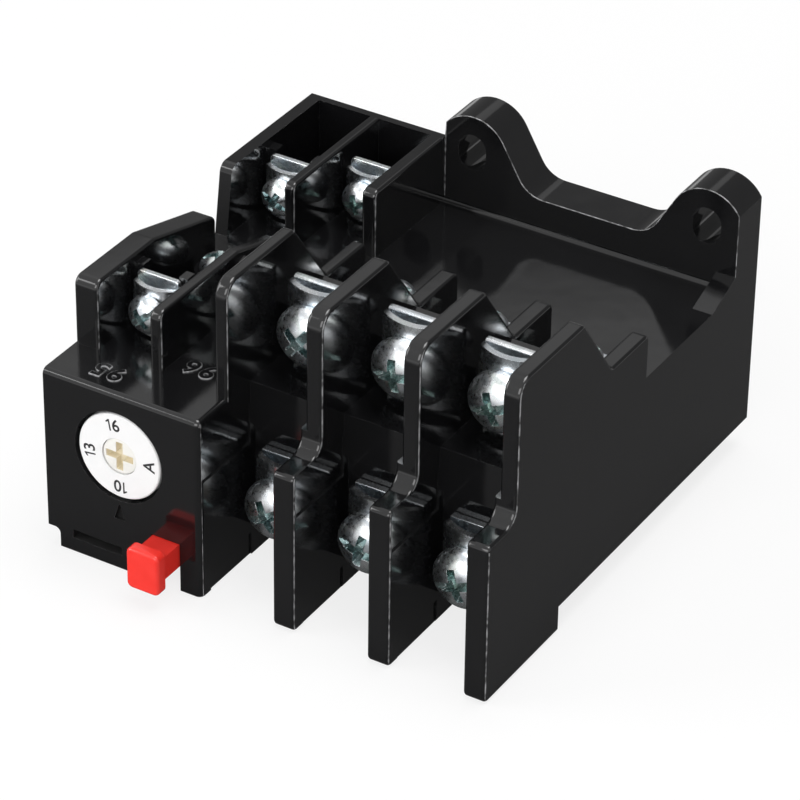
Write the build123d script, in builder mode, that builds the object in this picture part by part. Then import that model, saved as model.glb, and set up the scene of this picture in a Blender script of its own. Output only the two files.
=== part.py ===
"""Three-pole thermal overload relay that bolts to a panel by two ears.

The origin lies midway between the two ear slots, on the plane of the back. X runs along
the row of poles, Y goes back into the panel, and Z points up.
"""

import os
from math import cos, radians, sin, tan

from build123d import *

os.makedirs("parts", exist_ok=True)

# Moulding: body and deck
body_width = 70.5
body_depth = 74.7
deck_height = 28.7
deck_thickness = 2.4
side_wall = 2.2
foot_height = 4.1
foot_depth = 19.6
edge_round = 0.5

# Moulding: fins and bays
block_width = 25.5
fin_thickness = 2.6
first_fin_thickness = 2.0
foot_fin_thickness = 3.4
fin_setback = 7.0
fin_height = 46.8
fin_peak_depth = 23.9
fin_ledge_start = 32.2
fin_ledge_height = 35.5
fin_ledge_end = 42.5
fin_front_round = 2.8
foot_fin_height = 25.2
foot_fin_round = 0.8
foot_fin_sweep = 2.5
mid_wall_depth = 12.6
mid_wall_thickness = 2.8
pocket_top = 21.8
relief_depth = 0.25
relief_floor = 18.6
relief_start = 0.6
foot_relief_start = 2.4
foot_relief_height = 3.7
pedestal_height = 35.9
pedestal_back = 31.0

# Moulding: rear plate and ears
plate_thickness = 6.7
plate_height = 33.8
plate_root_round = 0.9
ear_spacing = 38.0
ear_right_inset = 5.0
ear_radius = 5.8
ear_slot_height = 38.1
ear_slot_width = 4.5
ear_slot_length = 5.7
ear_flank_angle = 60.0
ear_foot_round = 4.5
gusset_width = 3.1
gusset_depth = 6.8
gusset_height = 2.5

# Moulding: front of the dial block
nick_width = 2.0
nick_height = 3.0
nick_round = 0.9
block_round = 0.9
dial_across = 12.2
dial_height = 18.5
dial_diameter = 13.4
dial_gap = 0.45
dial_thickness = 1.6
dial_sink = 0.2
index_gap = 0.85
index_width = 1.9
index_height = 2.8
front_mark_depth = 0.6
label_slot_left = 4.2
label_slot_width = 8.1
label_slot_floor = 2.2
label_slot_height = 1.4
label_slot_depth = 1.6
block_front_wall = 3.2
block_floor = 10.6

# Moulding: terminals 95 and 96
aux_wall_height = 39.4
aux_partition_height = 38.0
aux_front = 7.9
aux_left_wall = 3.8
aux_bay_width = 8.5
aux_partition = 1.9
aux_crest_depth = 21.8
aux_partition_crest = 27.3
aux_tail_depth = 37.2
aux_tail_height = 35.3
guide_rib_length = 1.9
guide_rib_width = 1.3

# Moulding: terminals 97 and 98
rear_aux_front = 42.2
rear_aux_lean = 1.9
rear_aux_setback = 2.1
rear_aux_wall = 2.0
rear_aux_partition = 1.7
rear_aux_right_wall = 2.3
rear_aux_stagger = 4.4
rear_aux_back = 68.4
rear_aux_back_wall = 1.2

# Main terminals
main_thread = 4.0
main_head = 8.8
main_head_height = 3.0
main_screw_length = 10.0
upper_terminal_depth = 20.8
upper_screw_height = 36.0
lower_screw_height = 12.4
terminal_width = 8.8
terminal_margin = 5.9
clamp_width = 9.5
clamp_height = 12.0
clamp_depth = 3.0
clamp_metal = 1.0
clamp_corner = 1.1
strap_metal = 1.2
strap_width = 6.4
strap_end = 43.0
strap_bend = 1.5
load_leg_drop = 4.4
load_tab_depth = 22.0
load_tab_height = 16.0

# Auxiliary terminals
aux_thread = 3.0
aux_head = 6.0
aux_head_height = 2.4
aux_screw_length = 7.0
aux_screw_height = 32.9
aux_clamp_width = 7.2
aux_clamp_height = 7.6
aux_clamp_depth = 2.3
aux_clamp_corner = 0.7
aux_plate_width = 6.8
aux_plate_top = 37.6
aux_metal = 0.8
tongue_width = 4.0
tongue_floor = 19.8
terminal_95_depth = 16.4
terminal_96_depth = 25.4
terminal_97_depth = 52.7
terminal_98_depth = 58.2
strip_inset = 3.2
strip_right = 21.4
tip_length = 4.8

# Screws in the deck
heater_thread = 3.5
heater_head = 6.2
heater_head_height = 2.4
heater_screw_depth = 39.6
heater_screw_length = 8.0
heater_post_size = 7.4
heater_post_height = 6.0
strap_screw_depth = 31.5
strap_screw_length = 5.0
strap_boss = 4.6
strap_seat = 7.0
strap_seat_rise = 2.2

# Clearances
slide_fit = 0.15
shaft_fit = 0.05
thread_fit = 0.04
seat_gap = 0.05
cover_fit = 0.1
contact_gap = 0.05

# Reset button
button_width = 5.3
button_height = 6.6
button_head = 1.8
button_middle = 5.6
button_round = 0.9
stem_width = 4.4
stem_height = 3.7
stem_floor = 3.9
stem_front = -4.0
stem_length = 11.0
button_right_inset = 5.8
button_bulkhead = 14.0
button_travel = 3.0
rod_diameter = 1.6
rod_height = 6.6
rod_length = 10.4
spring_wire = 0.45
spring_diameter = 2.9
spring_turns = 4
clip_diameter = 3.2
clip_thickness = 0.6

# Setting shaft
shaft_diameter = 5.6
shaft_sink = 0.3
shaft_bracket_depth = 21.0
shaft_bracket_width = 10.0
shaft_bracket_floor = 13.5
bracket_thickness = 2.0
driver_slot_length = 4.9
driver_slot_width = 1.1
driver_slot_depth = 1.2
cam_diameter = 7.0
cam_offset = 0.6
cam_thickness = 3.0

# Bottom cover
cover_thickness = 1.5
cover_front = 20.6
cover_ledge = 1.0
cover_screw_thread = 2.5
cover_screw_head = 4.6
cover_screw_head_height = 1.6
cover_screw_length = 8.0
cover_boss = 5.2
cover_boss_height = 10.0
cover_screw_inset = 4.2
cover_screw_front = 25.5
cover_screw_back = 69.0

# Bimetal strips, their sleeves and heaters
bimetal_thickness = 1.0
bimetal_height = 6.0
bimetal_floor = 9.5
bimetal_length = 36.2
sleeve_wall = 0.4
sleeve_start = 25.0
sleeve_length = 20.0
heater_start = 26.6
heater_turns = 6
heater_pitch = 2.8
heater_ribbon = 1.6
heater_metal = 0.6

# Trip bar, lever and contact carrier
bar_depth = 57.0
bar_thickness = 2.0
bar_height = 9.0
bar_floor = 8.0
bar_left = 22.0
bar_overhang = 4.3
bar_nose = 0.8
bar_nose_length = 3.0
bar_travel = 1.5
bar_guide_width = 3.0
bar_guide_depth = 5.0
bar_guide_height = 8.4
lever_gap = 0.3
lever_arm = 6.5
lever_reach = 8.5
lever_width = 2.4
lever_hub = 5.2
lever_thickness = 3.0
lever_floor = 9.0
pin_diameter = 2.0
pin_head = 3.4
pin_head_height = 0.7
peg_height = 3.2
carrier_thickness = 3.0
carrier_lead = 5.0
carrier_tail = 7.0
carrier_floor = 12.6
carrier_top = 25.6
carrier_web_floor = 17.0
carrier_foot_width = 6.0
carrier_foot_length = 5.2
carrier_foot_height = 3.2
rail_width = 1.2
rail_height = 2.3
bridge_length = 13.6
bridge_height = 3.0
bridge_metal = 1.2
bridge_floor = 20.4
nc_bridge_depth = 36.0
bridge_spacing = 10.0
contact_diameter = 2.4
contact_height = 0.5
carrier_spring_length = 7.0
spring_post_thickness = 2.5
carrier_spring_diameter = 2.4

# Places that follow from the sizes above
pole_pitch = (body_width - block_width) / 3
bay_width = pole_pitch - fin_thickness
right_faces = [body_width - (3 - n) * pole_pitch for n in range(4)]
pole_centres = [face + bay_width / 2 for face in right_faces[:3]]
ear_right = body_width - ear_right_inset
ear_left = ear_right - ear_spacing
middle = (ear_left + ear_right) / 2
plate_front = body_depth - plate_thickness
cavity_top = deck_height - deck_thickness
cavity_front = mid_wall_depth + mid_wall_thickness
cover_top = foot_height + cover_thickness
partition_95 = aux_left_wall + aux_bay_width
wall_96 = block_width - first_fin_thickness
centre_95 = aux_left_wall + aux_bay_width / 2
centre_96 = (partition_95 + aux_partition + wall_96) / 2
partition_97 = rear_aux_wall + aux_bay_width
wall_98 = partition_97 + rear_aux_partition + aux_bay_width
centre_97 = rear_aux_wall + aux_bay_width / 2
centre_98 = wall_98 - aux_bay_width / 2
rear_aux_width = wall_98 + rear_aux_right_wall
button_across = block_width - button_right_inset
stem_back = stem_front + stem_length
bimetal_root = load_tab_depth + seat_gap
bar_right = pole_centres[-1] + bar_overhang
lever_across = bar_left - lever_gap - lever_width / 2
lever_pivot_depth = bar_depth - lever_arm
carrier_across = lever_across - lever_reach
carrier_travel = bar_travel * lever_reach / lever_arm
no_bridge_depth = nc_bridge_depth + bridge_spacing
carrier_front = nc_bridge_depth - carrier_lead
carrier_back = no_bridge_depth + carrier_tail
spring_post_depth = carrier_back + carrier_spring_length
nc_tip = nc_bridge_depth + bridge_metal / 2 + contact_height + contact_gap
no_tip = no_bridge_depth - bridge_metal / 2 - contact_height - carrier_travel - contact_gap


def at(across, back, up):
    """Point measured from the moulding's front lower left corner."""
    return Vector(across - middle, back - body_depth, up - ear_slot_height)


def side(across):
    """Plane seen from the right, with depth and height as its directions."""
    return Plane(origin=at(across, 0, 0), x_dir=(0, 1, 0), z_dir=(1, 0, 0))


def front(back):
    """Plane seen from the front, with width and height as its directions."""
    return Plane(origin=at(0, back, 0), x_dir=(1, 0, 0), z_dir=(0, -1, 0))


def level(up):
    """Plane seen from above, with width and depth as its directions."""
    return Plane(origin=at(0, 0, up), x_dir=(1, 0, 0), z_dir=(0, 0, 1))


def facing(across, back, up):
    """Place on the front of something, with its own Z towards the viewer."""
    return Location(Plane(origin=at(across, back, up), x_dir=(1, 0, 0), z_dir=(0, -1, 0)))


def block(across, back, up, mode=Mode.ADD):
    """Straight-sided body between two widths, two depths and two heights."""
    with Locations(at(across[0], back[0], up[0])):
        Box(
            across[1] - across[0],
            back[1] - back[0],
            up[1] - up[0],
            align=(Align.MIN, Align.MIN, Align.MIN),
            mode=mode,
        )


def round_back(across, back, up, diameter, length, mode=Mode.SUBTRACT):
    """Round bore or rod that runs straight back from a point."""
    with BuildSketch(front(back)) as end:
        with Locations((across, up)):
            Circle(diameter / 2)
    extrude(end.sketch, amount=-length, mode=mode)


def round_down(across, back, up, diameter, length, mode=Mode.SUBTRACT):
    """Round bore or post that runs straight down from a point."""
    with BuildSketch(level(up)) as end:
        with Locations((across, back)):
            Circle(diameter / 2)
    extrude(end.sketch, amount=-length, mode=mode)


def fin(face, thickness, outline, corner_radii, softened=edge_round):
    """Upright wall with its outline seen from the side and its front edges softened."""
    with BuildPart() as wall:
        with BuildSketch(side(face - thickness)):
            with BuildLine():
                FilletPolyline(*outline, radius=corner_radii, close=True)
            make_face()
        extrude(amount=thickness)
        fillet(wall.edges().filter_by(Axis.Z).group_by(Axis.Y)[0], softened)
    return wall.part


# Housing: one moulding, closed by the deck above and open below
upper_outline = [
    (fin_setback, foot_height),
    (fin_setback, fin_height),
    (fin_peak_depth, fin_height),
    (fin_ledge_start, fin_ledge_height),
    (fin_ledge_end, fin_ledge_height),
    (fin_ledge_end, foot_height),
]
foot_outline = [
    (0, 0),
    (0, foot_fin_height),
    (fin_setback, foot_fin_height),
    (fin_setback, foot_fin_height + foot_fin_sweep + edge_round),
    (fin_setback + fin_thickness, foot_fin_height + foot_fin_sweep + edge_round),
    (fin_setback + fin_thickness, foot_height),
    (foot_depth, foot_height),
    (foot_depth, 0),
]
wall_95_outline = [
    (aux_front, cavity_top),
    (aux_front, aux_wall_height),
    (aux_crest_depth, aux_wall_height),
    (aux_tail_depth, aux_tail_height),
    (aux_tail_depth, cavity_top),
]
partition_outline = [
    (aux_front, cavity_top),
    (aux_front, aux_partition_height),
    (aux_partition_crest, aux_partition_height),
    (aux_tail_depth, aux_tail_height),
    (aux_tail_depth, cavity_top),
]
rear_wall_outline = [
    (rear_aux_front, cavity_top),
    (rear_aux_front + rear_aux_lean, aux_wall_height),
    (rear_aux_back, aux_wall_height),
    (rear_aux_back, cavity_top),
]
rear_partition_front = rear_aux_front + rear_aux_setback
cover_screws_across = (cover_screw_inset, body_width - cover_screw_inset)
cover_screws_back = (cover_screw_front, cover_screw_back)
channel = (
    button_across - stem_width / 2 - slide_fit,
    button_across + stem_width / 2 + slide_fit,
)
ribs = (
    (aux_left_wall, partition_95, terminal_95_depth, aux_partition_height),
    (partition_95 + aux_partition, wall_96, terminal_96_depth, aux_partition_height - 1),
    (rear_aux_wall, partition_97, terminal_97_depth, aux_partition_height),
    (partition_97 + rear_aux_partition, wall_98, terminal_98_depth, aux_partition_height - 3),
)
tongues = (
    (centre_95, terminal_95_depth),
    (centre_96, terminal_96_depth),
    (centre_97, terminal_97_depth),
    (centre_98, terminal_98_depth),
)

with BuildPart() as housing:
    # Closed body behind the bays
    block((0, body_width), (mid_wall_depth, body_depth), (foot_height, deck_height))

    # Dial block with its nicked lower corner
    with BuildSketch(front(0)):
        with BuildLine():
            FilletPolyline(
                (0, nick_height),
                (0, deck_height),
                (block_width, deck_height),
                (block_width, 0),
                (nick_width, 0),
                (nick_width, nick_height),
                radius=[0, 0, block_round, 0, 0, nick_round],
                close=True,
            )
        make_face()
    extrude(amount=-foot_depth)
    fillet(housing.edges().filter_by(Axis.Z).group_by(Axis.Y)[0].sort_by(Axis.X)[-1], block_round)

    # Fins: thick in front of the feet, thinner and set back above
    for number, face in enumerate(right_faces):
        thickness = fin_thickness if number else first_fin_thickness
        add(fin(face, thickness, upper_outline, [0, fin_front_round, 1, 1, 1, 0]))
    for face in right_faces[1:]:
        foot_radii = [1, foot_fin_round, foot_fin_sweep, 0, 0, 0, 0, 0]
        add(fin(face, foot_fin_thickness, foot_outline, foot_radii))

    # Rear plate with two ears
    flank = radians(ear_flank_angle)
    with BuildSketch(front(plate_front)):
        for centre, inward in ((ear_left, 1), (ear_right, -1)):
            outer = rear_aux_width if inward > 0 else body_width
            shoulder = centre + inward * ear_radius * sin(flank)
            shoulder_height = ear_slot_height + ear_radius * cos(flank)
            toe = shoulder + inward * (shoulder_height - plate_height) / tan(flank)
            with Locations((centre, ear_slot_height)):
                Circle(ear_radius)
            with BuildLine():
                Polyline(
                    (outer, deck_height),
                    (outer, ear_slot_height),
                    (centre, ear_slot_height),
                    (shoulder, shoulder_height),
                    (toe, plate_height),
                    (toe, deck_height),
                    close=True,
                )
            make_face()
        with Locations(((rear_aux_width + body_width) / 2, ear_slot_height)):
            Rectangle(body_width - rear_aux_width, 4 * ear_radius, mode=Mode.INTERSECT)
        with Locations(((rear_aux_width + body_width) / 2, (foot_height + plate_height) / 2)):
            Rectangle(body_width - rear_aux_width, plate_height - foot_height)
    extrude(amount=-plate_thickness)
    plate_top = at(0, 0, plate_height).Z
    feet = housing.edges().filter_by(Axis.Y).filter_by_position(Axis.Z, plate_top - 0.1, plate_top + 0.1)
    fillet(feet.sort_by(Axis.X)[-2:], ear_foot_round)
    for centre in (ear_left, ear_right):
        with BuildSketch(front(plate_front)):
            with Locations((centre, ear_slot_height)):
                SlotOverall(ear_slot_length, ear_slot_width, rotation=90)
        extrude(amount=-plate_thickness, mode=Mode.SUBTRACT)

    # Rounded root where the plate stands on the deck
    with BuildSketch(side(rear_aux_width)):
        with BuildLine():
            root_arc = RadiusArc(
                (plate_front - plate_root_round, deck_height),
                (plate_front, deck_height + plate_root_round),
                -plate_root_round,
            )
            Polyline(
                root_arc @ 1,
                (plate_front + edge_round, deck_height + plate_root_round),
                (plate_front + edge_round, deck_height - edge_round),
                (plate_front - plate_root_round, deck_height - edge_round),
                root_arc @ 0,
            )
        make_face()
    extrude(amount=body_width - rear_aux_width)

    # Gusset at the right end of the plate
    with BuildSketch(side(body_width - gusset_width)):
        with BuildLine():
            Polyline(
                (plate_front - gusset_depth, cavity_top),
                (plate_front - gusset_depth, deck_height),
                (plate_front, deck_height + gusset_height),
                (plate_front, cavity_top),
                close=True,
            )
        make_face()
    extrude(amount=gusset_width)

    # Walls of terminals 95 and 96
    add(fin(aux_left_wall, aux_left_wall, wall_95_outline, [0, 1.5, 1, 1.2, 0]))
    add(fin(partition_95 + aux_partition, aux_partition, partition_outline, [0, 1.5, 1, 1.2, 0]))

    # Walls of terminals 97 and 98, with their front ends stepped back to the right
    add(fin(rear_aux_wall, rear_aux_wall, rear_wall_outline, [0, 1.5, 0, 0]))
    for left, thickness, step in (
        (partition_97, rear_aux_partition, 0),
        (wall_98, rear_aux_right_wall, rear_aux_stagger),
    ):
        outline = [
            (rear_partition_front + step, cavity_top),
            (rear_partition_front + step, aux_wall_height),
            (rear_aux_back, aux_wall_height),
            (rear_aux_back, cavity_top),
        ]
        add(fin(left + thickness, thickness, outline, [0, 1.2, 0, 0]))
    block(
        (0, rear_aux_width),
        (rear_aux_back - rear_aux_back_wall, rear_aux_back),
        (cavity_top, aux_wall_height),
    )

    # Ribs behind each auxiliary terminal plate
    for left, right, depth, height in ribs:
        back = (depth + aux_metal + seat_gap, depth + aux_metal + guide_rib_length)
        block((left, left + guide_rib_width), back, (cavity_top, height))
        block((right - guide_rib_width, right), back, (cavity_top, height))

    # Pedestal behind each upper terminal, with a channel for its strap
    for centre in pole_centres:
        block(
            (centre - bay_width / 2, centre + bay_width / 2),
            (upper_terminal_depth + strap_metal + seat_gap, pedestal_back),
            (cavity_top, pedestal_height),
        )
        half = strap_width / 2 + slide_fit
        block(
            (centre - half, centre + half),
            (upper_terminal_depth, pedestal_back),
            (deck_height, deck_height + strap_metal + slide_fit),
            mode=Mode.SUBTRACT,
        )
        round_back(
            centre,
            upper_terminal_depth,
            upper_screw_height,
            main_thread + 4 * slide_fit,
            main_screw_length - clamp_depth + slide_fit,
        )

    # Space for the mechanism, the space behind the dial, and the bosses for the cover screws
    block(
        (side_wall, body_width - side_wall),
        (cavity_front, body_depth - side_wall),
        (cover_top, cavity_top),
        mode=Mode.SUBTRACT,
    )
    block(
        (side_wall, block_width - foot_fin_thickness),
        (block_front_wall, cavity_front),
        (block_floor, cavity_top),
        mode=Mode.SUBTRACT,
    )
    for across in cover_screws_across:
        for back in cover_screws_back:
            round_down(across, back, cover_top + cover_boss_height, cover_boss, cover_boss_height, Mode.ADD)
    block(
        (side_wall - cover_ledge, body_width - side_wall + cover_ledge),
        (cover_front, body_depth - side_wall + cover_ledge),
        (foot_height, cover_top),
        mode=Mode.SUBTRACT,
    )
    for across in cover_screws_across:
        for back in cover_screws_back:
            bore = cover_screw_thread + 2 * thread_fit
            round_down(across, back, foot_height + cover_screw_length + 1, bore, cover_screw_length + 1)

    # Bracket that carries the back of the setting shaft
    block(
        (dial_across - shaft_bracket_width / 2, dial_across + shaft_bracket_width / 2),
        (shaft_bracket_depth, shaft_bracket_depth + bracket_thickness),
        (shaft_bracket_floor, deck_height - 1),
    )
    round_back(
        dial_across,
        0,
        dial_height,
        shaft_diameter + 2 * shaft_fit,
        shaft_bracket_depth + bracket_thickness,
    )
    round_back(dial_across, 0, dial_height, dial_diameter + 2 * dial_gap, dial_sink + dial_thickness)

    # Index mark under the dial and the label slot
    index_top = dial_height - dial_diameter / 2 - index_gap
    with BuildSketch(front(0)):
        with BuildLine():
            Polyline(
                (dial_across, index_top),
                (dial_across - index_width / 2, index_top - index_height),
                (dial_across + index_width / 2, index_top - index_height),
                close=True,
            )
        make_face()
    extrude(amount=-front_mark_depth, mode=Mode.SUBTRACT)
    block(
        (label_slot_left, label_slot_left + label_slot_width),
        (0, label_slot_depth),
        (label_slot_floor, label_slot_floor + label_slot_height),
        mode=Mode.SUBTRACT,
    )

    # Button channel, open below, and the bore for the rod of the button
    block(channel, (0, button_bulkhead), (0, stem_floor + stem_height + slide_fit), mode=Mode.SUBTRACT)
    block(
        channel,
        (foot_relief_start, button_bulkhead),
        (0, rod_height + (channel[1] - channel[0]) / 2),
        mode=Mode.SUBTRACT,
    )
    round_back(
        button_across,
        button_bulkhead,
        rod_height,
        rod_diameter + 2 * shaft_fit,
        foot_depth - button_bulkhead,
    )
    round_back(
        button_across,
        cavity_front,
        rod_height,
        clip_diameter + 4 * slide_fit,
        cover_front - cavity_front + seat_gap,
    )

    # Pocket of each lower terminal in the front wall, with the slot for its strap
    for centre in pole_centres:
        left = centre - bay_width / 2
        right = centre + bay_width / 2 - (foot_fin_thickness - fin_thickness)
        block(
            (left, right),
            (mid_wall_depth, mid_wall_depth + strap_metal + seat_gap),
            (foot_height, pocket_top),
            mode=Mode.SUBTRACT,
        )
        half = strap_width / 2 + slide_fit
        leg = lower_screw_height - load_leg_drop
        block(
            (centre - half, centre + half),
            (mid_wall_depth, cavity_front),
            (leg - slide_fit, leg + strap_metal + slide_fit),
            mode=Mode.SUBTRACT,
        )
        round_back(
            centre,
            mid_wall_depth,
            lower_screw_height,
            main_thread + 4 * slide_fit,
            mid_wall_thickness,
        )

    # Shallow reliefs on the right faces of the inner fins
    for face in right_faces[:3]:
        block(
            (face - relief_depth, face),
            (relief_start, mid_wall_depth),
            (relief_floor, foot_fin_height),
            mode=Mode.SUBTRACT,
        )
        block(
            (face - relief_depth, face),
            (foot_relief_start, mid_wall_depth),
            (0, foot_relief_height),
            mode=Mode.SUBTRACT,
        )

    # Bores and slots through the deck
    for centre in pole_centres:
        bore = heater_thread + 2 * slide_fit
        round_down(centre, heater_screw_depth, deck_height, bore, deck_thickness)
    for centre, depth in tongues:
        half = tongue_width / 2 + slide_fit
        block(
            (centre - half, centre + half),
            (depth - seat_gap, depth + aux_metal + seat_gap),
            (cavity_top, deck_height),
            mode=Mode.SUBTRACT,
        )
    strap_seat_height = deck_height + strap_seat_rise
    round_down(centre_95, strap_screw_depth, strap_seat_height, strap_seat, strap_seat_rise + edge_round, Mode.ADD)
    round_down(centre_95, strap_screw_depth, cavity_top, strap_boss, deck_thickness, mode=Mode.ADD)
    round_down(
        centre_95,
        strap_screw_depth,
        strap_seat_height,
        aux_thread + 2 * thread_fit,
        strap_seat_rise + 2 * deck_thickness,
    )

    # Rails under the deck on both sides of the contact carrier
    for outward in (-1, 1):
        inner = carrier_across + outward * (carrier_thickness / 2 + slide_fit)
        outer = inner + outward * rail_width
        block(
            (min(inner, outer), max(inner, outer)),
            (carrier_front + carrier_travel, carrier_back - carrier_foot_length),
            (cavity_top - rail_height, deck_height - 1),
        )
housing.part.label = "housing"
export_step(housing.part, "parts/housing.step")


# Bottom cover, with the guides of the trip bar, the lever's boss and the carrier's rest
with BuildPart() as bottom_cover:
    block(
        (side_wall - cover_ledge + cover_fit, body_width - side_wall + cover_ledge - cover_fit),
        (cover_front + cover_fit, body_depth - side_wall + cover_ledge - cover_fit),
        (foot_height, cover_top),
    )
    for left, right in zip(pole_centres, pole_centres[1:]):
        guide = (left + right) / 2
        block(
            (guide - bar_guide_width / 2, guide + bar_guide_width / 2),
            (bar_depth - bar_guide_depth / 2, bar_depth + bar_guide_depth / 2),
            (cover_top - edge_round, cover_top + bar_guide_height),
        )
        block(
            (guide - bar_guide_width / 2, guide + bar_guide_width / 2),
            (
                bar_depth - bar_thickness / 2 - slide_fit,
                bar_depth + bar_thickness / 2 + slide_fit,
            ),
            (bar_floor - slide_fit, cover_top + bar_guide_height),
            mode=Mode.SUBTRACT,
        )
    boss_height = lever_floor - seat_gap - foot_height
    round_down(
        lever_across,
        lever_pivot_depth,
        lever_floor - seat_gap,
        lever_hub - edge_round,
        boss_height,
        mode=Mode.ADD,
    )
    round_down(
        lever_across,
        lever_pivot_depth,
        lever_floor - seat_gap,
        pin_diameter + 2 * thread_fit,
        boss_height - cover_thickness / 2,
    )
    rest_front = (nc_bridge_depth + no_bridge_depth) / 2 - bar_guide_depth / 2
    block(
        (carrier_across - carrier_foot_width / 2, carrier_across + carrier_foot_width / 2),
        (rest_front, rest_front + bar_guide_depth),
        (cover_top - edge_round, carrier_web_floor - slide_fit),
    )
    block(
        (carrier_across - carrier_thickness / 2, carrier_across + carrier_thickness / 2),
        (spring_post_depth, spring_post_depth + spring_post_thickness),
        (cover_top - edge_round, carrier_floor + carrier_foot_height + spring_wire),
    )
    for across in cover_screws_across:
        for back in cover_screws_back:
            bore = cover_screw_thread + 2 * slide_fit
            round_down(across, back, cover_top, bore, cover_thickness)
bottom_cover.part.label = "bottom_cover"
export_step(bottom_cover.part, "parts/bottom_cover.step")


def pan_screw(thread, head, head_height, length, cross=True):
    """Screw with a low rounded head, standing head up with the underside of its head at zero."""
    tip = thread / 5
    with BuildPart() as screw:
        with BuildSketch(Plane.XZ):
            with BuildLine():
                Polyline(
                    (0, head_height),
                    (0, -length),
                    (thread / 2 - tip, -length),
                    (thread / 2, tip - length),
                    (thread / 2, 0),
                    (head / 2, 0),
                    (head / 2, head_height),
                    close=True,
                )
            make_face()
        revolve(axis=Axis.Z)
        rim = screw.edges().filter_by(GeomType.CIRCLE).group_by(Axis.Z)[-1]
        fillet(rim, head_height * 0.5)
        slot = head / 8
        with BuildSketch(Plane.XY.offset(head_height)):
            Rectangle(head * 1.1, slot)
        extrude(amount=-head_height * 0.4, mode=Mode.SUBTRACT)
        if cross:
            with BuildSketch(Plane.XY.offset(head_height)):
                Rectangle(slot, head * 0.56)
            extrude(amount=-head_height * 0.6, mode=Mode.SUBTRACT)
    return screw.part


def arched_clamp(width, height, depth, metal, corner, bore):
    """Pressed clamp plate: bowed towards the viewer, so that its two edges bear on the terminal."""
    with BuildPart() as clamp:
        with BuildSketch(Plane.XZ.offset(-height / 2)):
            with BuildLine():
                ThreePointArc((-width / 2, -depth), (0, -metal), (width / 2, -depth))
                Line((width / 2, -depth), (width / 2, metal - depth))
                ThreePointArc((width / 2, metal - depth), (0, 0), (-width / 2, metal - depth))
                Line((-width / 2, metal - depth), (-width / 2, -depth))
            make_face()
        extrude(amount=height)
        corners = clamp.edges().filter_by(GeomType.LINE).filter_by(Axis.Z)
        fillet(corners, corner)
        with BuildSketch(Plane.XY):
            Circle(bore / 2)
        extrude(amount=-depth, mode=Mode.SUBTRACT)
    return clamp.part


# Line terminals: each strap stands up behind its screw and runs back over the deck
strap_top = upper_screw_height + terminal_margin
line_outline = [
    (upper_terminal_depth, deck_height),
    (upper_terminal_depth, strap_top),
    (upper_terminal_depth + strap_metal, strap_top),
    (upper_terminal_depth + strap_metal, deck_height + strap_metal),
    (strap_end, deck_height + strap_metal),
    (strap_end, deck_height),
]
for number, centre in enumerate(pole_centres, start=1):
    with BuildPart() as line_terminal:
        with BuildSketch(side(centre - terminal_width / 2)):
            with BuildLine():
                FilletPolyline(
                    *line_outline,
                    radius=[strap_bend, 0.4, 0.4, strap_bend - strap_metal, 0.4, 0.4],
                    close=True,
                )
            make_face()
        extrude(amount=terminal_width)
        for edge in (centre - terminal_width / 2, centre + strap_width / 2):
            block(
                (edge, edge + (terminal_width - strap_width) / 2),
                (upper_terminal_depth + strap_metal, strap_end),
                (deck_height, deck_height + strap_metal + strap_bend),
                mode=Mode.SUBTRACT,
            )
        round_back(
            centre,
            upper_terminal_depth,
            upper_screw_height,
            main_thread + 2 * thread_fit,
            strap_metal,
        )
        round_down(
            centre,
            heater_screw_depth,
            deck_height + strap_metal,
            heater_thread + 2 * thread_fit,
            strap_metal,
        )
    line_terminal.part.label = f"line_terminal_{number}"
    export_step(line_terminal.part, f"parts/line_terminal_{number}.step")

# Load terminals: each strap runs through the front wall and turns up to hold its bimetal strip
leg = lower_screw_height - load_leg_drop
for number, centre in enumerate(pole_centres, start=1):
    with BuildPart() as load_terminal:
        block(
            (centre - terminal_width / 2, centre + terminal_width / 2),
            (mid_wall_depth, mid_wall_depth + strap_metal),
            (lower_screw_height - terminal_margin, lower_screw_height + terminal_margin),
        )
        block(
            (centre - strap_width / 2, centre + strap_width / 2),
            (mid_wall_depth, load_tab_depth),
            (leg, leg + strap_metal),
        )
        block(
            (centre - strap_width / 2, centre + strap_width / 2),
            (load_tab_depth - strap_metal, load_tab_depth),
            (leg, load_tab_height),
        )
        bend = load_terminal.edges().filter_by(Axis.X).group_by(Axis.Y)[-1].sort_by(Axis.Z)[0]
        fillet(bend, strap_bend)
        round_back(
            centre,
            mid_wall_depth,
            lower_screw_height,
            main_thread + 2 * thread_fit,
            strap_metal,
        )
    load_terminal.part.label = f"load_terminal_{number}"
    export_step(load_terminal.part, f"parts/load_terminal_{number}.step")

# Clamps and screws of the six main terminals
main_clamp = arched_clamp(
    clamp_width, clamp_height, clamp_depth, clamp_metal, clamp_corner, main_thread + 2 * slide_fit
)
main_screw = pan_screw(main_thread, main_head, main_head_height, main_screw_length)
upper_places = [
    facing(centre, upper_terminal_depth - clamp_depth, upper_screw_height) for centre in pole_centres
]
lower_places = [facing(centre, mid_wall_depth - clamp_depth, lower_screw_height) for centre in pole_centres]

with BuildPart() as main_clamps:
    with Locations(*upper_places, *lower_places):
        add(main_clamp)
main_clamps.part.label = "main_clamps"
export_step(main_clamps.part, "parts/main_clamps.step")

with BuildPart() as main_screws:
    with Locations(*upper_places, *lower_places):
        add(main_screw)
main_screws.part.label = "main_screws"
export_step(main_screws.part, "parts/main_screws.step")

# Screws behind the upper terminals, and the brass posts that they go into under the deck
heater_screw = pan_screw(heater_thread, heater_head, heater_head_height, heater_screw_length)
with BuildPart() as heater_screws:
    with Locations(*[at(centre, heater_screw_depth, deck_height + strap_metal) for centre in pole_centres]):
        add(heater_screw)
heater_screws.part.label = "heater_screws"
export_step(heater_screws.part, "parts/heater_screws.step")

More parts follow.
